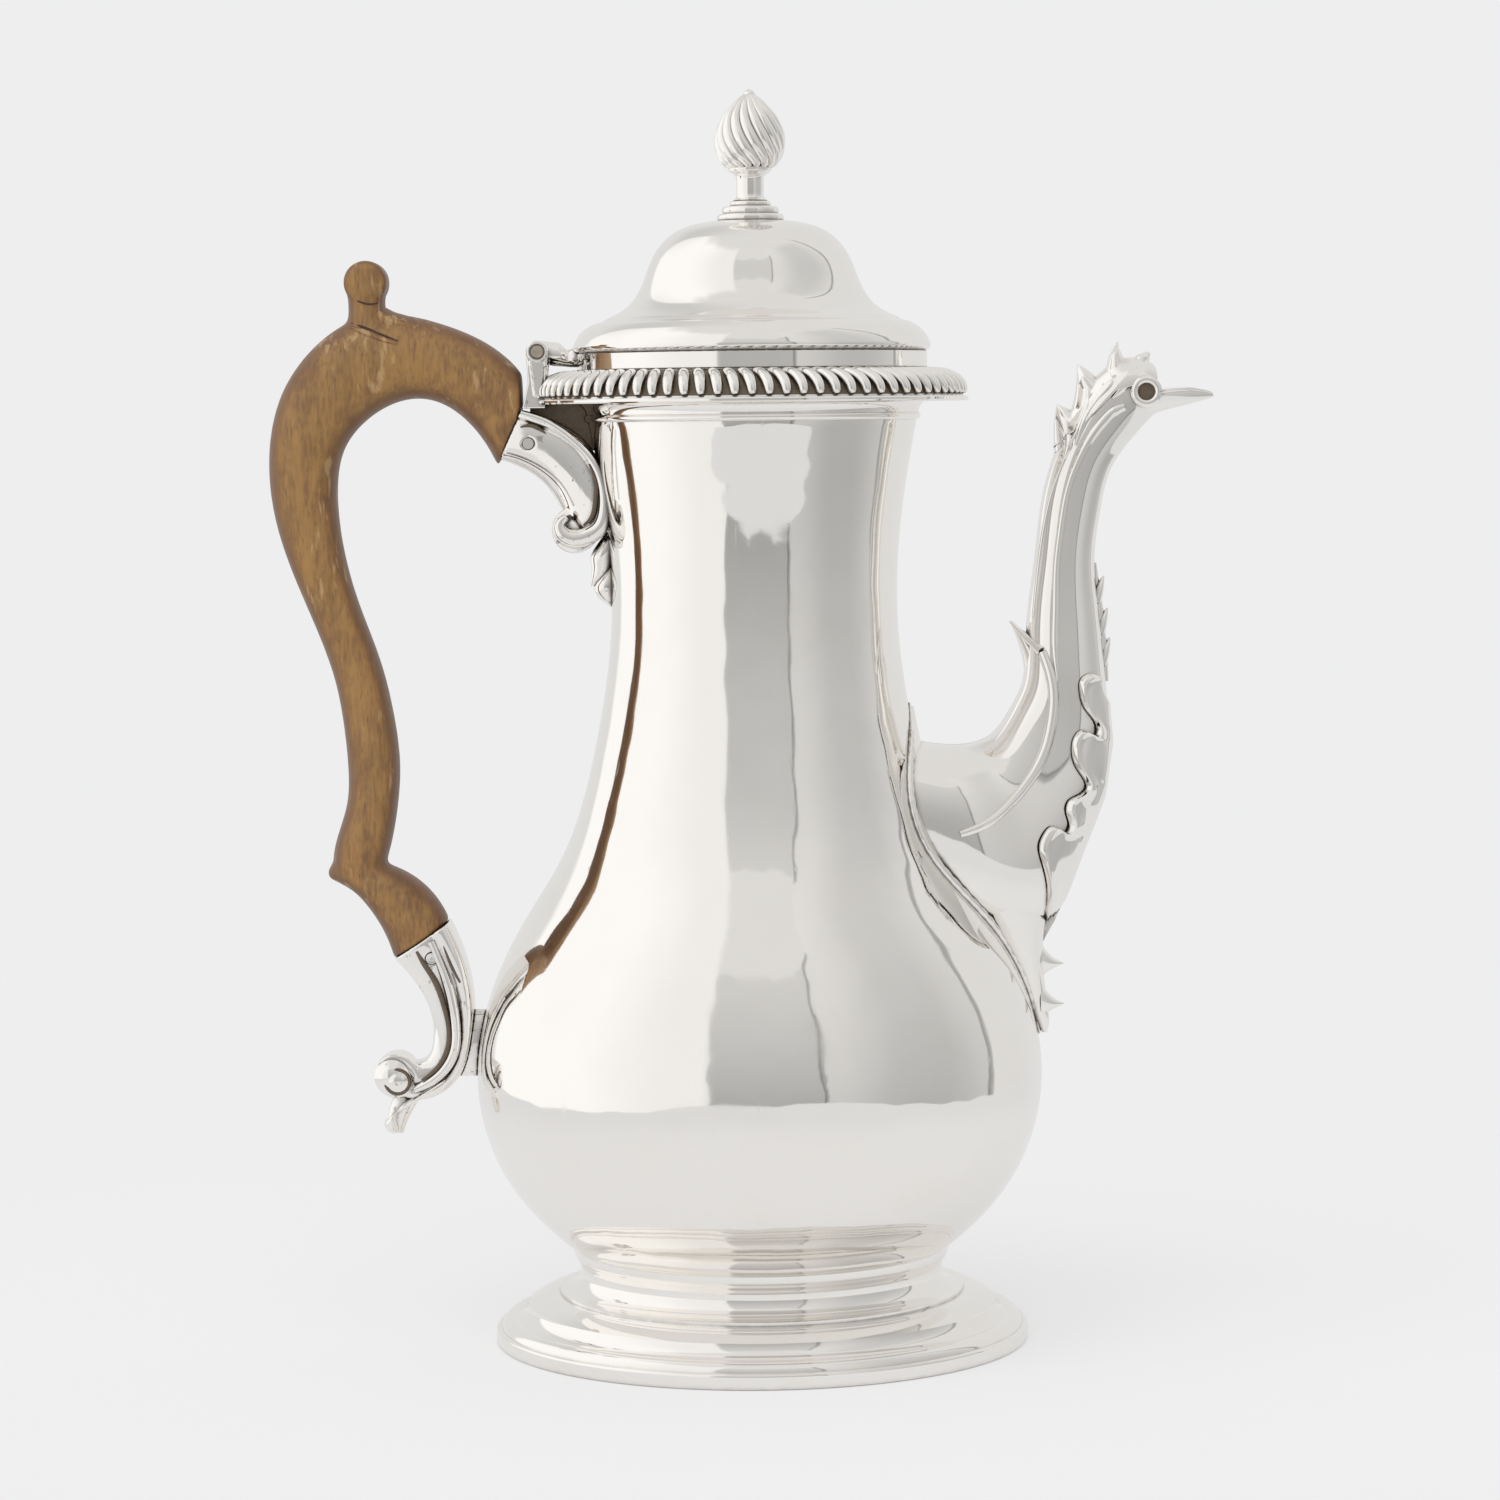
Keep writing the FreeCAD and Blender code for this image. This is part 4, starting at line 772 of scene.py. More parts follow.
def band_outline():
    inner = LID_BAND_R - LID_BAND_WALL
    return [
        (inner, LID_LOW),
        (LID_BAND_R - 0.3, LID_LOW),
        (LID_BAND_R, LID_LOW + 0.3),
        (LID_BAND_R, FLANGE_Z - 0.45),
        (LID_BAND_R - 0.35, FLANGE_Z - 0.1),
        (LID_BAND_R - 0.35, FLANGE_Z),
        (inner, FLANGE_Z),
    ]


def bezel_outline():
    outer = COLLAR_R - BODY_WALL - BEZEL_GAP
    seat = LID_BAND_R - LID_BAND_WALL
    return [
        (outer - BEZEL_WALL, BEZEL_LOW),
        (outer - 0.2, BEZEL_LOW),
        (outer, BEZEL_LOW + 0.2),
        (outer, LID_LOW + 1.5),
        (seat, LID_LOW + 1.5),
        (seat, LID_LOW + 2.5),
        (outer, LID_LOW + 2.5),
        (outer, FLANGE_Z),
        (outer - BEZEL_WALL, FLANGE_Z),
    ]


def pedestal_outline():
    """The stepped rings on the dome, the waisted stem and the collar under the bud."""
    low, top = CROWN_Z - 0.4, PEDESTAL_TOP
    collar = 0.6 * PEDESTAL_R
    edge = [(0.0, low - 0.5), (PEDESTAL_R - 0.1, low - 0.9)]
    for inset, step, rise in ((0.0, 0.0, 1.5), (1.1, 1.6, 1.6), (2.9, 3.3, 1.1)):
        radius, height = PEDESTAL_R - inset, low + step
        swell = (radius, height + 0.45 * rise)
        edge += arc_curve((radius - 0.3, height), swell, (radius - 0.5, height + rise), 8)
        edge.append((radius - 1.0, height + rise + 0.05))
    edge += arc_curve((STEM_R + 0.9, low + 4.6), (STEM_R + 0.1, low + 5.3), (STEM_R, low + 6.4), 8)
    edge += arc_curve((STEM_R, top - 3.0), (STEM_R + 0.3, top - 2.1), (collar - 0.4, top - 1.5), 8)
    edge += arc_curve((collar - 0.3, top - 1.4), (collar + 0.3, top - 0.8), (collar, top), 8)
    return edge + [(0.0, top)]


# Ribs made by Geometry Nodes


def rib_tree(name, radius_stops, height_stops, thickness_stops, turn_stops):
    """A node tree that sweeps one rib from its low end to its high end and repeats it round the axis."""
    tree = bpy.data.node_groups.new(name, "GeometryNodeTree")
    inputs = (
        ("Count", "NodeSocketInt"),
        ("Radius", "NodeSocketFloat"),
        ("Base", "NodeSocketFloat"),
        ("Rise", "NodeSocketFloat"),
        ("Turn", "NodeSocketFloat"),
        ("Thickness", "NodeSocketFloat"),
        ("Material", "NodeSocketMaterial"),
    )
    for label, kind in inputs:
        tree.interface.new_socket(label, in_out="INPUT", socket_type=kind)
    tree.interface.new_socket("Geometry", in_out="OUTPUT", socket_type="NodeSocketGeometry")

    def add(kind, links, settings=None):
        made = tree.nodes.new(kind)
        for key, value in (settings or {}).items():
            setattr(made, key, value)
        for key, value in links.items():
            if isinstance(value, (int, float, tuple)):
                made.inputs[key].default_value = value
            else:
                tree.links.new(value, made.inputs[key])
        return made

    def maths(operation, first, second=0.0):
        return add("ShaderNodeMath", {0: first, 1: second}, {"operation": operation}).outputs[0]

    def shaped(stops, factor):
        curve = add("ShaderNodeFloatCurve", {"Value": factor})
        line = curve.mapping.curves[0]
        while len(line.points) < len(stops):
            line.points.new(0.5, 0.5)
        for point, (place, level) in zip(line.points, stops):
            point.location = (place, level)
        curve.mapping.update()
        return curve.outputs[0]

    given = tree.nodes.new("NodeGroupInput").outputs
    line = add("GeometryNodeCurvePrimitiveLine", {})
    fine = add("GeometryNodeResampleCurve", {"Curve": line.outputs[0], "Count": RIB_STEPS})
    factor = add("GeometryNodeSplineParameter", {}).outputs["Factor"]
    radius = maths("MULTIPLY", shaped(radius_stops, factor), given["Radius"])
    turn = maths("MULTIPLY", shaped(turn_stops, factor), given["Turn"])
    height = maths("ADD", maths("MULTIPLY", shaped(height_stops, factor), given["Rise"]), given["Base"])
    place = add(
        "ShaderNodeCombineXYZ",
        {
            0: maths("MULTIPLY", radius, maths("COSINE", turn)),
            1: maths("MULTIPLY", radius, maths("SINE", turn)),
            2: height,
        },
    )
    path = add("GeometryNodeSetPosition", {"Geometry": fine.outputs[0], "Position": place.outputs[0]})
    thickness = maths("MULTIPLY", shaped(thickness_stops, factor), given["Thickness"])
    section = add("GeometryNodeCurvePrimitiveCircle", {"Resolution": RIB_SIDES, "Radius": 1.0})
    sweep = {0: path.outputs[0], 1: section.outputs[0], "Scale": thickness, "Fill Caps": True}
    rib = add("GeometryNodeCurveToMesh", sweep)
    points = add("GeometryNodePoints", {"Count": given["Count"]})
    index = add("GeometryNodeInputIndex", {}).outputs[0]
    step = maths("DIVIDE", 2 * math.pi, given["Count"])
    spin = add("ShaderNodeCombineXYZ", {2: maths("MULTIPLY", index, step)})
    copies = add(
        "GeometryNodeInstanceOnPoints",
        {"Points": points.outputs[0], "Instance": rib.outputs[0], "Rotation": spin.outputs[0]},
    )
    real = add("GeometryNodeRealizeInstances", {"Geometry": copies.outputs[0]})
    dressed = add("GeometryNodeSetMaterial", {"Geometry": real.outputs[0], "Material": given["Material"]})
    add("NodeGroupOutput", {0: dressed.outputs[0]})
    return tree


def ribs(name, tree, material, **inputs):
    """A plain mesh of the ribs that a tree makes with these inputs."""
    piece = bpy.data.objects.new(name, bpy.data.meshes.new(name))
    bpy.context.scene.collection.objects.link(piece)
    maker = piece.modifiers.new("ribs", "NODES")
    maker.node_group = tree
    names = {item.name: item.identifier for item in tree.interface.items_tree if item.in_out == "INPUT"}
    for label, value in inputs.items():
        maker[names[label]] = value
    maker[names["Material"]] = material
    plain_mesh(piece)
    closed_up(piece.data)
    shade(piece.data, RIB_SHARP_DEG)
    return piece


def joined(name, material, *pieces):
    """One mesh from several finished pieces."""
    form = bmesh.new()
    for piece in pieces:
        form.from_mesh(piece.data)
        bpy.data.objects.remove(piece)
    mesh = bpy.data.meshes.new(name)
    form.to_mesh(mesh)
    form.free()
    return object_from(name, mesh, material)


# Spout: each station is back x and z, front x and z, and half the width, in millimetres

SPOUT_STATIONS = (
    (33.1, 137.5, 38.1, 97.0, 18.0),
    (45.1, 135.9, 54.1, 94.5, 18.0),
    (50.6, 136.7, 66.1, 97.0, 15.0),
    (55.1, 139.7, 73.6, 111.5, 12.0),
    (59.1, 146.0, 79.4, 127.0, 9.8),
    (61.4, 154.0, 79.7, 151.0, 8.6),
    (62.1, 166.0, 78.3, 166.0, 7.6),
    (63.8, 178.5, 77.4, 178.0, 7.0),
    (65.6, 192.0, 78.9, 189.5, 6.6),
    (69.1, 203.5, 81.6, 199.0, 6.4),
    (73.1, 211.5, 86.1, 205.2, 6.2),
    (79.6, 219.5, 90.1, 209.6, 6.0),
    (91.4, 220.9, 93.1, 211.3, 5.4),
    (98.1, 218.1, 98.7, 212.7, 3.6),
    (104.4, 215.5, 104.6, 214.3, 0.8),
)
RIDGE_SHARE = 0.4
BACK_SQUARENESS = 2.3
FRONT_SQUARENESS = 2.7
SPOUT_WALL = 1.2
THIN_WALL_SHARE = 0.28
MOUTH_X = 92.0
BEAK_EDGE = ((91.0, 215.5), (94.8, 216.0), (99.3, 216.2), (102.7, 215.7), (105.0, 215.1))
EYE = (88.9, 215.7)
EYE_R = 2.2
EYE_RING_R = 2.7
HEAD_HALF_WIDTH = 6.0
BESIDE_POT_Y = -80.0


def spout_ring(row, shrink, count):
    """One section of the tube, from the middle of its back round both sides and home again."""
    back, front = np.array(row[:2]), np.array(row[2:4])
    reach = np.linalg.norm(front - back)
    along = (front - back) / reach
    wall = min(shrink, THIN_WALL_SHARE * min(reach, 2 * row[4]))
    length, half = reach - 2 * wall, row[4] - wall
    turns = np.linspace(-math.pi, math.pi, count)
    squareness = np.where(abs(turns) < math.pi / 2, FRONT_SQUARENESS, BACK_SQUARENESS)
    span = np.where(abs(turns) < math.pi / 2, 1 - RIDGE_SHARE, RIDGE_SHARE) * length
    cosine, sine = np.cos(turns), np.sin(turns)
    place = wall + RIDGE_SHARE * length + span * np.sign(cosine) * abs(cosine) ** (2 / squareness)
    side = half * np.sign(sine) * abs(sine) ** (2 / squareness)
    x = back[0] + along[0] * place
    z = back[1] + along[1] * place
    return np.stack([x, side, z], 1)


def opened(ring, count):
    """The part of a section below the beak's edge, spread over the same number of points."""
    edge = np.interp(ring[:, 0], *zip(*BEAK_EDGE))
    low = np.flatnonzero(ring[:, 2] <= edge)
    places = np.linspace(low[0], low[-1], count)
    return np.stack([np.interp(places, np.arange(len(ring)), ring[:, i]) for i in range(3)], 1)


def trimmed(grid):
    """Moves what lies inside the vessel back to the vessel's wall, along each line of the grid."""
    x, y, z = np.moveaxis(grid, 2, 0)
    depth = np.hypot(x, y) - vessel_radius(z) + 0.5 * BODY_WALL
    for j in range(grid.shape[1]):
        first = int(np.argmax(depth[:, j] > 0))
        if first:
            share = depth[first, j] / (depth[first, j] - depth[first - 1, j])
            grid[:first, j] = grid[first, j] + (grid[first - 1, j] - grid[first, j]) * share
    return grid


def spout_grid(shrink):
    """The tube's sections, made smaller by a wall, and how many of them are closed rings."""
    rows = smooth_curve(SPOUT_STATIONS, 12)
    closed = [row for row in rows if 0.5 * (row[0] + row[2]) < MOUTH_X]
    grid = [spout_ring(row, shrink, SPOUT_POINTS) for row in closed]
    for row in rows[len(closed) - 1 :]:
        grid.append(opened(spout_ring(row, shrink, 12 * SPOUT_POINTS), SPOUT_POINTS))
    return trimmed(np.array(grid)), len(closed)


def piece_from(name, points_mm, faces, material, sharp_deg=RELIEF_SHARP_DEG):
    mesh = bpy.data.meshes.new(name)
    mesh.from_pydata((np.array(points_mm) * MM).tolist(), [], faces)
    closed_up(mesh)
    shade(mesh, sharp_deg)
    return object_from(name, mesh, material)


# How far a strand on a flat side stands out, in millimetres, and the share of its radius that is let in

RAISED_PROUD = 0.35
RAISED_LET_IN = 0.75


class Relief:
    """Gathers strands and leaves that lie on a surface, in millimetres, into one mesh."""

    def __init__(self, tree=None):
        self.tree = tree
        self.points = []
        self.faces = []

    def on_side(self, x, z):
        """The point of the surface seen at x and z from the near side, and its normal."""
        place, normal, _, _ = self.tree.ray_cast(Vector((x, BESIDE_POT_Y, z)), Vector((0, 1, 0)))
        if place is None:
            place = Vector((x, 0.0, z))
            normal = self.tree.find_nearest(place)[1]
        return place, normal

    def add(self, points, faces):
        start = len(self.points)
        self.points += [tuple(p) for p in points]
        self.faces += [tuple(start + i for i in face) for face in faces]

    def strand(self, points, radii, sides=12, steps=6, ripple=0.0):
        """A round strand through the points whose radius changes from end to end."""
        line = np.array(smooth_curve(points, steps))
        radius = np.interp(np.linspace(0, 1, len(line)), np.linspace(0, 1, len(radii)), radii)
        radius = radius * (1 + ripple * np.sin(np.arange(len(line)) * 2.1))
        ahead = np.gradient(line, axis=0)
        ahead /= np.linalg.norm(ahead, axis=1)[:, None]
        across = np.cross(ahead[0], (0.3, 0.8, 0.5))
        rows = []
        for place, way, size in zip(line, ahead, radius):
            across = across - way * across.dot(way)
            across /= np.linalg.norm(across)
            up = np.cross(way, across)
            turns = np.linspace(0, 2 * math.pi, sides, endpoint=False)
            rows.append(place + size * (np.cos(turns)[:, None] * across + np.sin(turns)[:, None] * up))
        self.add(np.concatenate(rows), tube_faces(len(rows), sides))

    def both(self, points, radii, **options):
        """A strand on the near side and its mirror image on the far side."""
        self.strand(points, radii, **options)
        self.strand([(x, -y, z) for x, y, z in points], radii, **options)

    def raised(self, outline, radii, side):
        """A strand along a line of the side view on each flat side, let in so that little stands proud."""
        sizes = np.interp(np.linspace(0, 1, len(outline)), np.linspace(0, 1, len(radii)), radii)
        line = [(x, RAISED_LET_IN * r - side - RAISED_PROUD, z) for (x, z), r in zip(outline, sizes)]
        self.both(line, radii)

    def ring(self, centre, radius, thickness, y):
        """A ring round a point of the side view, on each side."""
        turns = [2 * math.pi * i / RING_STEPS for i in range(RING_STEPS + 1)]
        x, z = centre
        round_line = [(x + radius * math.cos(t), -y, z + radius * math.sin(t)) for t in turns]
        self.both(round_line, [thickness, thickness], steps=3)

    def bead(self, outline, radii, proud):
        """A strand along a line of the side view, let into the surface so that it stands proud a little."""
        places = []
        for i, (x, z) in enumerate(outline):
            place, normal = self.on_side(x, z)
            radius = np.interp(i / (len(outline) - 1), np.linspace(0, 1, len(radii)), radii)
            places.append(tuple(place + normal * (min(proud, radius) - radius)))
        self.both(places, radii)

    def sheet(self, rows, rise, under=lambda along, across: -0.4):
        """A leaf over rows of (place, normal), from its underside up to its rise above the surface."""
        count, width = len(rows), len(rows[0])
        top, low = [], []
        for i, row in enumerate(rows):
            for j, (place, normal) in enumerate(row):
                spot = (i / (count - 1), j / (width - 1))
                top.append(tuple(place + normal * rise(*spot)))
                low.append(tuple(place + normal * under(*spot)))
        faces = grid_faces(count, width, False, False)
        self.add(top, faces)
        self.add(low, [face[::-1] for face in faces])
        rim = [(0, j) for j in range(width)] + [(i, width - 1) for i in range(1, count)]
        rim += [(count - 1, j) for j in range(width - 2, -1, -1)] + [(i, 0) for i in range(count - 2, 0, -1)]
        start = len(self.points) - 2 * count * width
        loop = [start + i * width + j for i, j in rim]
        drop = count * width
        self.faces += [(a, a + drop, b + drop, b) for a, b in zip(loop, loop[1:] + loop[:1])]

    def blade(self, stations, sides=20):
        """A flat leaf tip on the middle plane.

        Each station is one edge's x and z, the other edge's x and z, and half the width.
        """
        turns = np.linspace(0, 2 * math.pi, sides, endpoint=False)
        rows = []
        for ax, az, bx, bz, half in smooth_curve(stations, 8):
            reach = 0.5 * np.array((bx - ax, bz - az))
            x = 0.5 * (ax + bx) + reach[0] * np.cos(turns)
            z = 0.5 * (az + bz) + reach[1] * np.cos(turns)
            rows.append(np.stack([x, half * np.sin(turns), z], 1))
        self.add(np.concatenate(rows), tube_faces(len(rows), sides))


def relief_piece(name, make, material, tree=None, sharp_deg=RELIEF_SHARP_DEG):
    """One piece of all that a function adds to a relief on a surface."""
    relief = Relief(tree)
    make(relief)
    return piece_from(name, relief.points, relief.faces, material, sharp_deg)


# Lines on the spout in the side view, as (x, z) in millimetres

LEAF_EDGE = (
    (79.4, 147.5),
    (78.2, 150.8),
    (75.5, 152.2),
    (73.4, 150.9),
    (73.1, 148.4),
    (74.3, 144.2),
    (76.9, 139.4),
    (76.5, 138.2),
    (73.9, 139.5),
    (71.8, 138.0),
    (71.2, 135.2),
    (72.3, 130.8),
    (74.3, 126.2),
    (72.7, 124.9),
    (70.5, 123.8),
    (69.7, 121.2),
    (70.2, 117.2),
    (69.4, 116.4),
    (66.6, 118.0),
    (64.4, 116.3),
    (63.4, 113.6),
    (64.2, 109.5),
    (65.4, 103.5),
    (64.8, 94.5),
    (63.9, 88.0),
)
LEAF_MIDRIB = ((79.4, 147.5), (80.2, 136.0), (78.4, 124.0), (73.6, 111.5), (63.9, 88.0))
LEAF_MIDRIB_SHARES = (0.0, 0.3, 0.55, 0.78, 1.0)
RIDGE_LINE = (
    (84.2, 212.3),
    (82.0, 211.5),
    (79.2, 209.1),
    (76.0, 204.9),
    (73.1, 199.5),
    (71.0, 193.9),
    (69.4, 185.4),
    (68.3, 176.5),
    (68.0, 167.0),
    (67.8, 159.0),
    (68.3, 150.5),
)
CUP_RIM = (
    (64.9, 157.2),
    (66.6, 152.4),
    (67.4, 147.5),
    (66.9, 141.5),
    (65.6, 135.9),
    (63.2, 130.8),
    (60.2, 126.8),
    (56.0, 122.5),
    (50.8, 118.8),
    (45.6, 117.0),
)

# The root mount, as (height, half the width) in millimetres

ROOT_HALF_WIDTHS = (
    (69.4, 0.0),
    (76.0, 1.6),
    (84.0, 4.4),
    (92.0, 8.6),
    (99.0, 13.6),
    (107.0, 18.6),
    (116.0, 20.6),
    (125.0, 19.0),
    (133.0, 14.6),
    (139.0, 9.0),
    (145.4, 0.0),
)


def on_vessel(z, y, proud):
    """A point on the vessel's front, and the direction away from its axis."""
    radius = vessel_radius(z)
    out = Vector((math.sqrt(max(radius**2 - y**2, 0.0)), y, 0.0)).normalized()
    return Vector((0, 0, z)) + out * (radius + proud), out


def spout_beads(relief):
    """The ridge on each side, the cup's rim and point, the back edge, and the front strap with its spurs."""
    relief.bead(RIDGE_LINE, [1.0, 1.5, 1.4, 1.2, 1.0, 0.9, 0.9, 0.9, 1.0, 1.1, 0.3], 0.55)
    relief.bead(CUP_RIM, [1.2, 1.35, 1.4, 1.4, 1.4, 1.4, 1.3, 1.2, 1.1, 0.8], 0.85)
    rim_start, _ = relief.on_side(*CUP_RIM[0])
    tip = (58.1, -0.2, 163.8)
    relief.both([tip, (60.9, -2.6, 161.0), tuple(rim_start)], [0.2, 0.8, 1.2])
    point = [(61.6, 150.5, 68.0, 153.0, 5.0), (60.6, 156.5, 64.6, 158.0, 4.2)]
    relief.blade(point + [(58.0, 163.9, 58.6, 164.0, 0.3)])
    back = [(70.4, 200.6), (67.6, 193.6), (65.9, 186.8), (64.2, 175.5), (63.1, 165.0)]
    relief.bead(back, [0.3, 0.6, 0.6, 0.6, 0.5], 0.4)
    strap = [(77.5, 0, 177.0), (77.9, 0, 167.0), (78.7, 0, 158.0), (79.4, 0, 150.0)]
    relief.strand(strap, [0.4, 1.5, 1.6, 1.2])
    for x, z in ((79.7, 174.1), (80.5, 166.8), (81.0, 160.0)):
        foot = (x - 3.4, z - 3.5, x - 1.0, z - 7.0, 1.9)
        relief.blade([foot, (x - 1.9, z - 1.9, x - 0.2, z - 3.4, 1.5), (x - 0.3, z, x, z - 0.2, 0.2)])


def head_beads(relief):
    """The crest's leaf tips with their raised edges, and the eye rings."""
    tips = (
        ((68.4, 202.0, 75.0, 208.5, 4.6), (68.3, 207.8, 73.2, 211.0, 3.4), (69.0, 213.0, 69.6, 212.9, 0.25)),
        ((71.8, 210.0, 80.0, 216.0, 5.0), (73.2, 215.4, 78.4, 218.8, 3.6), (73.7, 222.0, 74.3, 221.9, 0.25)),
        ((78.4, 216.6, 86.5, 219.5, 5.2), (80.9, 220.9, 84.6, 222.9, 3.6), (82.2, 226.8, 82.8, 226.7, 0.25)),
        ((82.5, 221.2, 89.2, 217.4, 5.0), (86.0, 222.3, 89.6, 219.9, 3.6), (89.9, 224.7, 90.4, 224.2, 0.3)),
    )
    for tip in tips:
        relief.blade(tip)
    edges = (
        ((70.7, 209.5), (71.4, 204.9), (70.2, 200.4)),
        ((76.8, 217.6), (75.8, 213.4), (73.5, 207.7), (71.4, 203.8)),
        ((83.4, 221.9), (81.8, 218.4), (78.3, 214.5), (74.4, 208.3), (72.9, 203.8)),
        ((88.6, 220.9), (86.3, 219.4), (83.5, 216.6), (81.2, 214.2)),
    )
    for edge in edges:
        relief.bead(edge, [0.5, 1.2, 1.2, 0.3], 0.7)
    relief.ring(EYE, EYE_RING_R, 0.95, HEAD_HALF_WIDTH + 0.2)


def eye_discs(relief):
    """The dark eyes inside their rings."""
    for side in (-1, 1):
        disc = [(EYE[0], share * side * HEAD_HALF_WIDTH, EYE[1]) for share in (0.8, 0.95, 1.0)]
        relief.strand(disc, [EYE_R, EYE_R], sides=32)


def acanthus(relief):
    """The leaf on the outer curve: a lobed edge on each side of a midrib on the spout's front."""
    edge = np.array(smooth_curve(LEAF_EDGE, 5))
    share = np.linspace(0, 1, len(edge))
    middle = np.stack([np.interp(share, LEAF_MIDRIB_SHARES, line) for line in zip(*LEAF_MIDRIB)], 1)
    half = []
    for rib, tip in zip(middle, edge):
        row = []
        for s in np.linspace(0.02, 1.0, 18):
            row.append(relief.on_side(*(rib + (tip - rib) * s)))
        half.append(row)

    def rise(along, across):
        roll = 0.7 * math.exp(-(((across - 0.88) / 0.08) ** 2))
        veins = 0.14 * math.cos(across * 9.0)
        ends = min(1.0, 14 * along, 14 * (1 - along))
        return (1.0 + roll + veins) * ends * (1 - 0.45 * across**24)

    def under(along, across):
        lift = 1.2 * max(0.0, across - 0.55) / 0.45
        return -0.4 + lift * min(1.0, 6 * along, 6 * (1 - along))

    relief.sheet(half, rise, under)
    mirror = Vector((1, -1, 1))
    relief.sheet([[(place * mirror, normal * mirror) for place, normal in row] for row in half], rise, under)


def root_mount(relief):
    """The pointed mount round the spout's root, with its crimped edge and the spurred drop."""
    heights, widths = zip(*ROOT_HALF_WIDTHS)
    rows = []
    for z in np.linspace(heights[0] + 0.6, heights[-1] - 0.6, 90):
        half = np.interp(z, heights, widths)
        rows.append([on_vessel(z, half * s, 0.0) for s in np.linspace(-1, 1, 25)])

    def rise(along, across):
        fall = abs(2 * across - 1) ** 8
        return 1.1 * (1 - fall) - 0.3 * fall

    relief.sheet(rows, rise)
    edge = [tuple(on_vessel(z, -half, 0.25)[0]) for z, half in ROOT_HALF_WIDTHS]
    relief.both(edge, [0.35, 0.9, 1.1, 1.1, 1.1, 1.0, 0.9, 0.9, 0.9, 0.9, 0.3], steps=10, ripple=0.1)
    keel = (
        (42.0, 101.0, 67.6, 103.0, 13.5),
        (46.0, 97.0, 66.2, 97.0, 12.0),
        (50.0, 92.0, 65.3, 91.5, 9.6),
        (54.5, 87.0, 65.2, 86.5, 6.8),
        (58.0, 82.0, 65.5, 81.5, 4.4),
        (60.5, 77.0, 66.1, 76.5, 2.8),
        (62.6, 72.5, 66.5, 72.0, 1.6),
        (65.0, 69.6, 65.9, 69.5, 0.3),
    )
    relief.blade(keel, 28)
    for x, z in ((70.0, 85.4), (70.0, 76.1)):
        foot = (x - 5.8, z + 5.8, x - 5.4, z - 3.2, 3.0)
        waist = (x - 3.8, z + 2.7, x - 3.4, z - 1.7, 2.3)
        neck = (x - 1.7, z + 0.9, x - 1.5, z - 0.7, 1.2)
        relief.blade([foot, waist, neck, (x - 0.2, z + 0.2, x - 0.1, z - 0.1, 0.2)])


# Half the width of the sockets, in millimetres

SOCKET_SIDE = 7.2

# Lines on the sockets and the thumb curl in the side view, as (x, z) in millimetres

UPPER_RIM = (
    (-52.3, 212.3),
    (-46.9, 210.5),
    (-41.6, 207.0),
    (-37.7, 203.2),
    (-35.2, 199.3),
    (-33.9, 194.7),
    (-33.8, 189.7),
    (-35.0, 186.3),
    (-37.6, 184.5),
    (-40.6, 183.9),
    (-43.2, 185.0),
    (-43.9, 187.0),
    (-42.4, 188.8),
)
UPPER_EDGE = ((-56.4, 202.2), (-52.0, 200.5), (-47.8, 197.8), (-44.7, 194.1), (-42.8, 190.5))
UPPER_GROOVE = ((-36.9, 200.7), (-35.6, 197.0), (-35.7, 192.5), (-36.7, 188.6), (-38.4, 186.9))
PIN_STAIN = ((-52.4, 209.2), (-50.5, 209.6), (-48.7, 209.1), (-46.7, 207.8))
LOWER_BAND = (
    (-74.4, 92.8),
    (-72.4, 87.7),
    (-70.7, 82.6),
    (-69.6, 77.5),
    (-69.1, 72.4),
    (-69.5, 67.8),
    (-71.4, 63.9),
    (-74.7, 60.8),
    (-78.7, 58.8),
)
LOWER_GROOVE = (
    (-77.7, 90.5),
    (-76.1, 87.7),
    (-73.8, 84.0),
    (-72.1, 79.4),
    (-70.9, 74.3),
    (-70.7, 69.7),
    (-71.8, 66.2),
    (-74.0, 63.2),
    (-77.0, 61.0),
)
LOWER_LINE = ((-72.3, 94.4), (-70.7, 89.5), (-69.0, 85.3), (-67.9, 83.3))
LOWER_BALL = (-83.9, 61.6)
LOWER_BOSS = (-82.5, 60.7)
CURL_FOLD = ((-90.3, 233.0), (-88.2, 232.3), (-85.7, 231.3), (-82.8, 230.1), (-79.7, 228.8))
CURL_LIP = ((-90.6, 232.2), (-88.2, 231.3), (-85.5, 230.3), (-82.8, 229.2), (-80.1, 228.2))
CURL_DISC = ((-88.8, 238.0), (-87.3, 237.4), (-85.6, 237.2), (-84.2, 237.5))


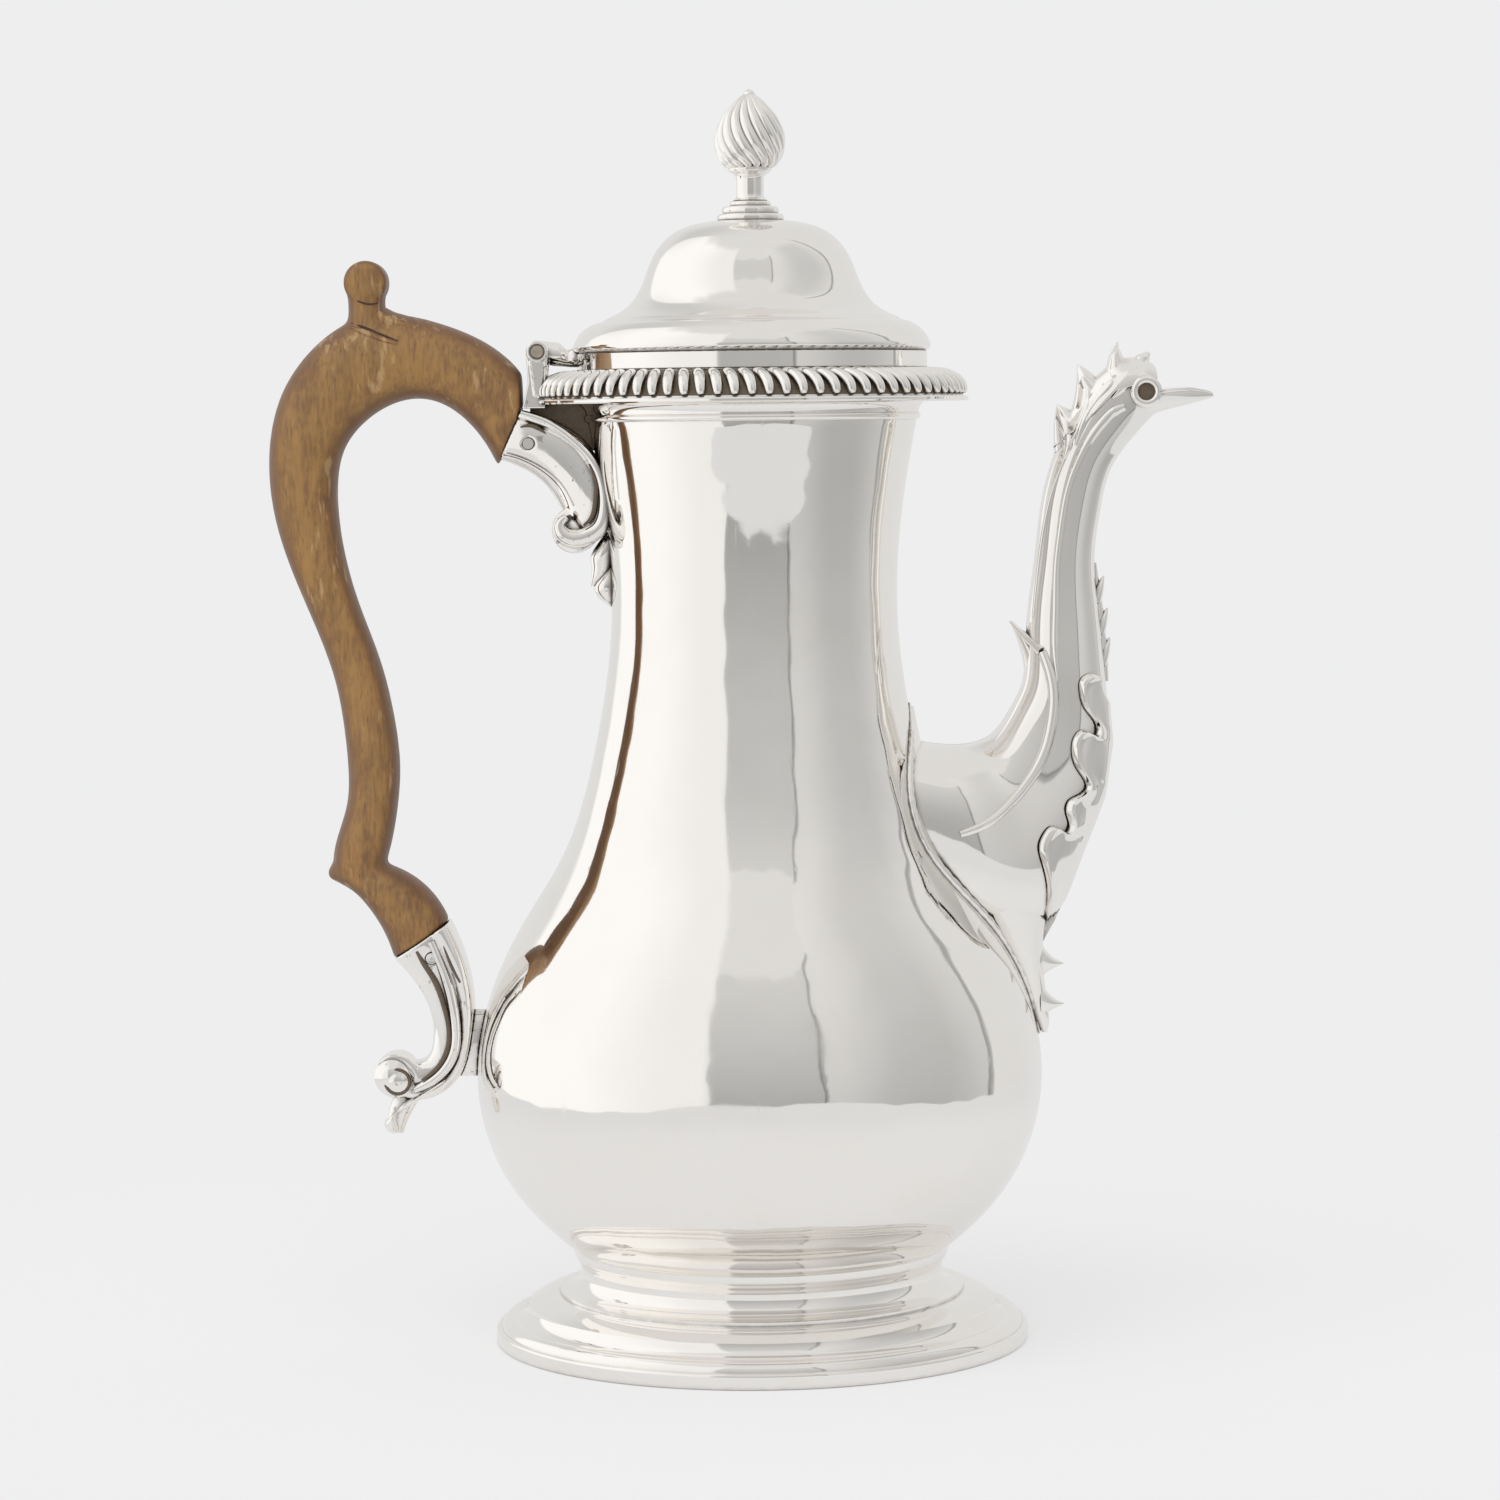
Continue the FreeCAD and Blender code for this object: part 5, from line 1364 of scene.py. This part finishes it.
def socket_relief(relief):
    """Both sockets' rims and volutes, the lower ball, boss and curled tail, and the hinge's tongue."""
    relief.raised(UPPER_RIM, [0.7, 0.8, 0.8, 0.9, 1.0, 1.2, 1.6, 1.9, 2.1, 2.1, 1.8, 1.4, 0.8], SOCKET_SIDE)
    relief.raised(UPPER_EDGE, [0.4, 0.5, 0.5, 0.5, 0.4], SOCKET_SIDE)
    relief.raised(LOWER_BAND, [0.9, 1.1, 1.2, 1.2, 1.2, 1.2, 1.2, 1.1, 0.7], SOCKET_SIDE)
    ball = [(LOWER_BALL[0], y, LOWER_BALL[1]) for y in (-7.6, -6.0, 0.0, 6.0, 7.6)]
    relief.strand(ball, [2.0, 4.0, 4.1, 4.0, 2.0], sides=32)
    boss = [(LOWER_BOSS[0], y, LOWER_BOSS[1]) for y in (-6.2, -7.4, -8.0)]
    relief.both(boss, [2.5, 2.4, 1.2], sides=24)
    tail = (
        (-72.6, 59.0, -70.6, 63.0, 6.0),
        (-77.8, 55.6, -75.6, 59.8, 5.6),
        (-81.8, 53.2, -79.8, 57.0, 5.0),
        (-85.0, 51.6, -82.2, 54.2, 4.6),
        (-86.2, 49.9, -82.8, 50.9, 4.4),
        (-85.2, 48.3, -82.6, 49.0, 3.6),
        (-83.6, 47.9, -82.9, 48.3, 2.0),
    )
    relief.blade(tail, 24)
    relief.ring((HINGE.x, HINGE.z), 2.0, 0.5, 7.5)
    tongue = ((-48.0, 221.8), (-47.9, 218.6), (-48.1, 215.6))
    relief.raised(tongue, [1.5, 1.3, 0.4], 7.3)


def socket_shade_and_stain(relief):
    """Painted shade in the grooves beside the rims and round the boss and hinge pin, and a dark stain over
    the upper pin.
    """
    relief.raised(UPPER_GROOVE, [0.3, 0.5, 0.5, 0.3], SOCKET_SIDE - 0.1)
    relief.raised(PIN_STAIN, [0.1, 0.35, 0.45, 0.1], SOCKET_SIDE - 0.3)
    relief.raised(LOWER_GROOVE, [0.3, 0.6, 0.7, 0.6, 0.5, 0.6, 0.6, 0.5, 0.3], SOCKET_SIDE - 0.15)
    relief.raised(LOWER_LINE, [0.3, 0.35, 0.2], SOCKET_SIDE - 0.1)
    relief.ring(LOWER_BOSS, 2.75, 0.4, 7.2)
    relief.ring((HINGE.x, HINGE.z), 1.55, 0.22, 7.9)


def bud_drop(relief):
    """The pointed bud under the upper volute and the leaf behind it."""
    bud = (
        (-33.4, 177.0, -31.9, 177.0, 1.5),
        (-35.3, 174.7, -31.3, 174.9, 2.7),
        (-36.4, 172.7, -31.0, 172.9, 3.2),
        (-35.6, 170.4, -31.2, 170.7, 2.5),
        (-33.8, 168.9, -31.9, 169.0, 1.3),
        (-32.8, 168.2, -32.5, 168.2, 0.2),
    )
    leaf = (
        (-33.6, 185.2, -31.8, 185.0, 1.8),
        (-36.2, 181.6, -31.2, 182.0, 2.9),
        (-37.2, 179.5, -31.6, 179.7, 2.9),
        (-37.0, 177.2, -32.4, 177.0, 2.3),
        (-37.1, 174.8, -33.9, 174.8, 1.6),
        (-37.3, 172.9, -36.2, 172.9, 0.4),
    )
    relief.blade(bud, 24)
    relief.blade(leaf, 24)


def lid_arm(relief):
    """The lid's middle knuckle and the arm that carries it."""
    arm = (
        (-50.8, 225.3, -50.8, 226.9, 1.2),
        (-49.9, 223.9, -49.9, 228.2, 2.5),
        (-48.4, 223.3, -48.4, 228.7, 2.9),
        (-46.6, 223.2, -46.6, 228.5, 2.9),
        (-44.9, 222.9, -44.9, 228.3, 2.9),
        (-43.2, 222.8, -43.2, 227.8, 2.8),
        (-41.9, 222.7, -41.9, 226.6, 2.2),
        (-40.6, 222.6, -40.6, 226.9, 2.5),
        (-38.7, 222.6, -38.7, 227.2, 2.6),
    )
    relief.blade(arm, 28)


def curl_folds(relief):
    """The lip below the thumb curl's fold and the flap that rolls up from it."""
    flap = (
        (-88.5, 237.7, -90.2, 236.5, 3.0),
        (-86.4, 237.2, -88.5, 234.9, 4.6),
        (-83.4, 236.7, -86.3, 233.1, 5.2),
        (-81.0, 235.6, -83.3, 231.5, 5.4),
        (-78.1, 234.7, -80.0, 230.5, 5.5),
        (-75.1, 233.6, -77.0, 229.6, 5.3),
        (-71.1, 231.6, -73.0, 228.0, 4.6),
    )
    relief.blade(flap, 32)
    relief.bead(CURL_LIP, [0.3, 0.7, 0.8, 0.6, 0.2], 0.5)


def curl_shadow(relief):
    """The dark bottoms of the fold and of the groove round the curl's disc."""
    relief.bead(CURL_FOLD, [0.2, 0.4, 0.5, 0.4, 0.15], 0.12)
    relief.bead(CURL_DISC, [0.2, 0.4, 0.4, 0.2], 0.12)


# Operators, one for each group of pieces


class PotOperator:
    bl_options = {"REGISTER", "UNDO"}


class COFFEEPOT_OT_vessel(PotOperator, bpy.types.Operator):
    """Make the raised body and its stepped foot"""

    bl_idname = "coffeepot.vessel"
    bl_label = "Body and foot"

    def execute(self, context):
        body_silver = polished_silver("hammered_silver", 1.5, 0.5, 1.6, lined=True)
        foot_silver = polished_silver("foot_silver", 0.35, 0.55, 2.0)
        fit(strained(turned("vessel", body_outline(), body_silver)), "pot", "silver", "body")
        foot = turned("stepped_foot", foot_outline(), foot_silver, MOULDED_SHARP_DEG)
        fit(foot, "pot", "silver", "foot")
        fit(turned("foot_edge", foot_band_outline(), foot_silver), "pot", "silver", "foot_band")
        return {"FINISHED"}


class COFFEEPOT_OT_rim(PotOperator, bpy.types.Operator):
    """Make the neck moulding and the slanted gadroon border"""

    bl_idname = "coffeepot.rim"
    bl_label = "Rim border"

    def execute(self, context):
        sizes = context.scene.coffee_pot_sizes
        silver = polished_silver("rim_silver", 0.25, 0.95, 1.8)
        moulding = turned("collar_moulding", moulding_outline(), silver, MOULDED_SHARP_DEG)
        fit(moulding, "pot", "silver", "neck_moulding")
        base = turned("border_slope", border_outline(), silver, MOULDED_SHARP_DEG)
        run = BORDER_R - 0.15
        low = MOULDING_TOP + 1.7
        tree = rib_tree(
            "gadroon_lobe",
            [(0.0, 1.0), (0.25, 0.985), (0.6, 0.925), (1.0, 0.845)],
            [(0.0, 0.0), (0.25, 0.45), (0.6, 0.83), (1.0, 1.0)],
            [(0.0, 0.5), (0.08, 0.78), (0.3, 0.97), (0.7, 0.97), (1.0, 0.45)],
            [(0.0, 0.0), (0.4, 0.22), (1.0, 1.0)],
        )
        lobes = ribs(
            "border_lobes",
            tree,
            silver,
            Count=sizes.gadroons,
            Radius=(run - sizes.gadroon_width / MM * 0.7) * MM,
            Base=low * MM,
            Rise=(MOUTH_Z - 0.7 - low) * MM,
            Turn=-sizes.gadroon_slant,
            Thickness=sizes.gadroon_width,
        )
        border = joined("gadroon_rim", silver, base, lobes)
        fit(border, "pot", "silver", "gadroon_border")
        # The dark sheet between the lobes is painted shade and deposit
        gaps = turned("border_gaps", gap_outline(), shade_and_deposit_silver("gap_shade_and_deposit"))
        fit(gaps, "pot", "silver")
        return {"FINISHED"}


class COFFEEPOT_OT_lid(PotOperator, bpy.types.Operator):
    """Make the domed lid with its band and bezel"""

    bl_idname = "coffeepot.lid"
    bl_label = "Lid"

    def execute(self, context):
        silver = polished_silver("lid_silver", 0.8, 0.75, 1.6)
        fit(turned("dome", dome_outline(), silver, DOME_SHARP_DEG), "lid", "silver", "lid_dome")
        fit(turned("upright_band", band_outline(), silver), "lid", "silver", "lid_band")
        fit(turned("inner_bezel", bezel_outline(), silver), "lid", "silver", "lid_bezel")
        return {"FINISHED"}


class COFFEEPOT_OT_finial(PotOperator, bpy.types.Operator):
    """Make the finial's pedestal and its wrythen bud"""

    bl_idname = "coffeepot.finial"
    bl_label = "Finial"

    def execute(self, context):
        sizes = context.scene.coffee_pot_sizes
        silver = polished_silver("finial_silver", 0.15, 0.4, 1.0)
        stem = turned("stem", pedestal_outline(), silver, MOULDED_SHARP_DEG)
        fit(stem, "lid", "silver", "finial_pedestal")
        rise = BUD_TOP - PEDESTAL_TOP
        bud_r = box_mm("finial_bud")[1].y
        tree = rib_tree(
            "wrythen_rib",
            [(0.0, 0.58), (0.1, 0.86), (0.32, 1.0), (0.56, 0.88), (0.8, 0.52), (1.0, 0.08)],
            [(0.0, 0.0), (1.0, 1.0)],
            [(0.0, 0.55), (0.12, 0.85), (0.32, 1.0), (0.6, 0.88), (1.0, 0.25)],
            [(0.0, 0.0), (0.45, 0.66), (1.0, 1.0)],
        )
        core_r = bud_r - BUD_RIB_R
        strands = ribs(
            "bud_ribs",
            tree,
            silver,
            Count=sizes.bud_ribs,
            Radius=core_r * MM,
            Base=PEDESTAL_TOP * MM,
            Rise=(rise - 1.0) * MM,
            Turn=sizes.bud_twist,
            Thickness=BUD_RIB_R * MM,
        )
        shares = ((0.5, 0.0), (0.82, 0.12), (0.93, 0.32), (0.8, 0.56), (0.45, 0.8), (0.16, 0.94))
        heart = [(r * core_r, PEDESTAL_TOP + h * rise) for r, h in shares]
        core_edge = [(0.0, PEDESTAL_TOP)] + smooth_curve(heart, 6) + [(0.0, heart[-1][1])]
        tip_edge = [(0.0, BUD_TOP - 3.4), (0.9, BUD_TOP - 3.0)]
        tip_edge += arc_curve((1.4, BUD_TOP - 1.7), (1.2, BUD_TOP - 0.8), (0.0, BUD_TOP - 0.02), 8)
        # The bud's dark core between the ribs is painted shade and deposit
        fit(turned("bud_core", core_edge, shade_and_deposit_silver("bud_shade_and_deposit")), "lid", "silver")
        tip = turned("bud_tip", tip_edge, silver)
        fit(joined("wrythen_bud", silver, strands, tip), "lid", "silver", "finial_bud")
        return {"FINISHED"}


class COFFEEPOT_OT_castings(PotOperator, bpy.types.Operator):
    """Make the hinge, the handle sockets and the spout's crest"""

    bl_idname = "coffeepot.castings"
    bl_label = "Castings"

    def execute(self, context):
        silver = polished_silver("cast_silver", 1.2, 0.95, 2.4, 0.55)
        cambered = polished_silver("socket_silver", 1.2, 0.95, 2.4, 0.7, 0.2)
        # Painted shade: this dark finish goes on the socket grooves and on the hinge's web
        dark = shade_and_deposit_silver("groove_shade")
        castings = (
            ("upper_mount", "upper_socket", 0.3, 4, cambered),
            ("lower_mount", "lower_socket", 0.3, 5, silver),
            ("stub", "strut", 0.25, 3, silver),
            ("standing_bracket", "hinge_bracket", 0.2, 3, silver),
            # The hinge's web is painted dark as shade
            ("bracket_web", "hinge_web", 0.2, 3, dark),
            ("head_crest", "spout_crest", 0.2, 3, silver),
        )
        for name, node, voxel, rounds, material in castings:
            fit(cast_copy(name, node, material, voxel, rounds), "pot", "silver", node)
        makers = (
            ("socket_rims", socket_relief, silver, "pot", ()),
            ("socket_grooves", socket_shade_and_stain, dark, "pot", ()),
            ("bud_drop", bud_drop, silver, "pot", ("upper_socket_drop",)),
            ("lid_knuckle", lid_arm, silver, "lid", ("lid_hinge_arm",)),
        )
        for name, make, material, body, nodes in makers:
            fit(relief_piece(name, make, material), body, "silver", *nodes)
        for node in ("upper_handle_pin", "lower_handle_pin", "finial_nut"):
            coat(frame["nodes"][node].data, silver)
        coat(frame["nodes"]["hinge_pin"].data, pin_metal("pin_end"))
        return {"FINISHED"}


class COFFEEPOT_OT_spout(PotOperator, bpy.types.Operator):
    """Make the swan-neck spout with its ridges, leaf, crest and root"""

    bl_idname = "coffeepot.spout"
    bl_label = "Spout"

    def execute(self, context):
        silver = polished_silver("spout_silver", 0.3, 0.95, 2.2)
        outside, closed = spout_grid(0.0)
        inside, _ = spout_grid(SPOUT_WALL)
        grid = np.concatenate([outside, inside[:, ::-1]], 1)
        rows, columns = grid.shape[:2]
        faces = grid_faces(rows, columns, False, True)
        faces.append(tuple((rows - 1) * columns + i for i in range(columns)))
        tube = piece_from("swan_neck", grid.reshape(-1, 3), faces, silver)
        fit(tube, "pot", "silver", "spout_near_half", "spout_far_half")
        skin = outside.reshape(-1, 3).tolist()
        tree = BVHTree.FromPolygons(skin, grid_faces(rows, SPOUT_POINTS, False, False))
        lip = [tuple(point) for point in outside[closed::3, 0]]

        def tube_beads(relief):
            spout_beads(relief)
            relief.both(lip, [0.5, 0.45, 0.2], steps=3)

        # The dark eye discs are painted shade and deposit inside the eye rings
        eye_dark = shade_and_deposit_silver("eye_shade_and_deposit")
        makers = (
            ("spout_beads", tube_beads, silver, RELIEF_SHARP_DEG, ()),
            ("crest_edges", head_beads, silver, RELIEF_SHARP_DEG, ()),
            ("dark_eyes", eye_discs, eye_dark, RELIEF_SHARP_DEG, ()),
            ("acanthus_leaf", acanthus, silver, LEAF_SHARP_DEG, ("spout_leaf",)),
            ("root_leaves", root_mount, silver, RELIEF_SHARP_DEG, ("spout_root_mount",)),
        )
        for name, make, material, sharp_deg, nodes in makers:
            fit(relief_piece(name, make, material, tree, sharp_deg), "pot", "silver", *nodes)
        return {"FINISHED"}


class COFFEEPOT_OT_handle(PotOperator, bpy.types.Operator):
    """Make the wooden C-scroll handle"""

    bl_idname = "coffeepot.handle"
    bl_label = "Handle"

    def execute(self, context):
        wood = fruitwood("waxed_fruitwood")
        handle = cast_copy("scroll_handle", "wooden_handle", wood, 0.55, 22)
        fit(handle, "pot", "fruitwood", "wooden_handle")
        skin = [vertex.co / MM for vertex in handle.data.vertices]
        tree = BVHTree.FromPolygons(skin, [tuple(face.vertices) for face in handle.data.polygons])
        # The curl_shadow strands are painted shade in the fold and in the groove round the disc
        makers = (("curl_folds", curl_folds, wood), ("curl_shadow", curl_shadow, dark_wood("fold_shade")))
        for name, make, material in makers:
            fit(relief_piece(name, make, material, tree), "pot", "fruitwood")
        return {"FINISHED"}


# Stage


def studio_world():
    """A white room with a soft box on the left, a grey card in front and a grey wall on the right."""
    world = bpy.data.worlds.new("studio")
    bpy.context.scene.world = world
    world.use_nodes = True
    paint = Paint(world.node_tree)
    way = paint.node("ShaderNodeTexCoord", None, None, "Generated")
    x, y, z = (paint.part(way, axis) for axis in "XYZ")
    ripple = paint.noise(way, 6.0, 2.0) - 0.5
    turn = paint.node("ShaderNodeMath", {"operation": "ARCTAN2"}, {0: x, 1: -1.0 * y})
    azimuth = turn + 0.06 * ripple
    rise = z + 0.08 * ripple

    def window(value, low, high, soft):
        fades_in = paint.remap(value, low - soft, low + soft)
        return fades_in * (1.0 - paint.remap(value, high - soft, high + soft))

    def across(low_deg, high_deg, soft):
        return window(azimuth, math.radians(low_deg), math.radians(high_deg), soft)

    def turning(low_deg, high_deg, *levels):
        return paint.remap(azimuth, math.radians(low_deg), math.radians(high_deg), *levels)

    low = -0.7
    box_top = 0.53 + turning(-150, -128, 0.0, 0.36)
    soft_box = across(-138, -22, 0.05) * window(rise, low, box_top, 0.05)
    left_wall = across(-175, -125, 0.3) * window(rise, 0.55, 0.9, 0.14)
    card = across(-22, 27, 0.012) * window(rise, low, 0.73, 0.015)
    card_edge = across(26.3, 28.2, 0.01) * window(rise, low, 0.76, 0.02)
    wall = across(27.6, 107, 0.012) * window(rise, low, 0.89, 0.03)
    wall_edge = across(106, 109, 0.015) * window(rise, low, 0.89, 0.03)
    depth = across(48, 96, 0.3)
    near_lamp = turning(-35, -85)
    level = 0.77 + (0.15 + 0.13 * near_lamp) * soft_box - 0.12 * left_wall
    level = level - (0.3 - 0.28 * rise) * card - 0.32 * card_edge
    level = level - (0.13 + 0.13 * depth - 0.18 * rise) * wall - 0.35 * wall_edge
    lamp = across(-80, 30, 0.4) * window(rise, -0.1, 0.9, 0.2)
    glow = 0.55 + 1.15 * lamp + 0.3 * paint.remap(rise, 0.1, 0.9)
    room = paint.node("ShaderNodeBackground", None, {"Color": ROOM_WHITE, "Strength": level})
    light = paint.node("ShaderNodeBackground", None, {"Color": ROOM_WHITE, "Strength": glow})
    sweep = paint.node("ShaderNodeBackground", None, {"Color": BACKGROUND, "Strength": 1.0})
    around = paint.node("ShaderNodeMixShader", None, {0: paint.ray("Is Glossy Ray"), 1: light, 2: room})
    shown = paint.node("ShaderNodeMixShader", None, {0: paint.ray("Is Camera Ray"), 1: around, 2: sweep})
    paint.node("ShaderNodeOutputWorld", None, {"Surface": shown})


def photo_camera():
    """A camera where the photograph's stood, at eye level with the lid and tipped down a little."""
    data = bpy.data.cameras.new("photo_camera")
    data.sensor_width = SENSOR_MM
    data.lens = SENSOR_MM * PHOTO_FOCAL_PX / PHOTO_SIZE_PX
    camera = bpy.data.objects.new("photo_camera", data)
    bpy.context.scene.collection.objects.link(camera)
    tip = math.radians(90.0 - CAMERA_TIP_DEG)
    roll = math.radians(CAMERA_ROLL_DEG)
    turn = Matrix.Rotation(tip, 4, "X") @ Matrix.Rotation(roll, 4, "Z")
    camera.matrix_world = Matrix.Translation(Vector(CAMERA_PLACE_MM) * MM) @ turn
    bpy.context.scene.camera = camera


class COFFEEPOT_OT_stage(PotOperator, bpy.types.Operator):
    """Make the paper floor, the studio light and the camera"""

    bl_idname = "coffeepot.stage"
    bl_label = "Stage"

    def execute(self, context):
        edge = [(x, y, 0.0) for x, y in TABLE_EDGE]
        mesh = bpy.data.meshes.new("paper_sweep")
        mesh.from_pydata(edge, [], [tuple(range(len(edge)))])
        object_from("paper_sweep", mesh, paper_floor("paper"))
        studio_world()
        photo_camera()
        context.scene.view_settings.view_transform = "Standard"
        return {"FINISHED"}


class COFFEEPOT_PT_panel(bpy.types.Panel):
    """Sizes, colours and the steps that make the coffee pot"""

    bl_idname = "COFFEEPOT_PT_panel"
    bl_label = "Coffee pot"
    bl_space_type = "VIEW_3D"
    bl_region_type = "UI"
    bl_category = "Coffee pot"

    def draw(self, context):
        layout = self.layout
        for group in (context.scene.coffee_pot_sizes, context.scene.coffee_pot_colours):
            for key in group.__annotations__:
                layout.prop(group, key)
        for step in STEPS:
            layout.operator(step.bl_idname)


STEPS = (
    COFFEEPOT_OT_vessel,
    COFFEEPOT_OT_rim,
    COFFEEPOT_OT_lid,
    COFFEEPOT_OT_finial,
    COFFEEPOT_OT_castings,
    COFFEEPOT_OT_spout,
    COFFEEPOT_OT_handle,
    COFFEEPOT_OT_stage,
)
CLASSES = (CoffeePotSizes, CoffeePotColours) + STEPS + (COFFEEPOT_PT_panel,)


def register():
    for entry in CLASSES:
        bpy.utils.register_class(entry)
    bpy.types.Scene.coffee_pot_sizes = PointerProperty(type=CoffeePotSizes)
    bpy.types.Scene.coffee_pot_colours = PointerProperty(type=CoffeePotColours)


def unregister():
    del bpy.types.Scene.coffee_pot_colours
    del bpy.types.Scene.coffee_pot_sizes
    for entry in reversed(CLASSES):
        bpy.utils.unregister_class(entry)


def main():
    register()
    bpy.ops.coffeepot.vessel()
    bpy.ops.coffeepot.rim()
    bpy.ops.coffeepot.lid()
    bpy.ops.coffeepot.finial()
    bpy.ops.coffeepot.castings()
    bpy.ops.coffeepot.spout()
    bpy.ops.coffeepot.handle()
    bpy.ops.coffeepot.stage()


if __name__ == "__main__":
    main()
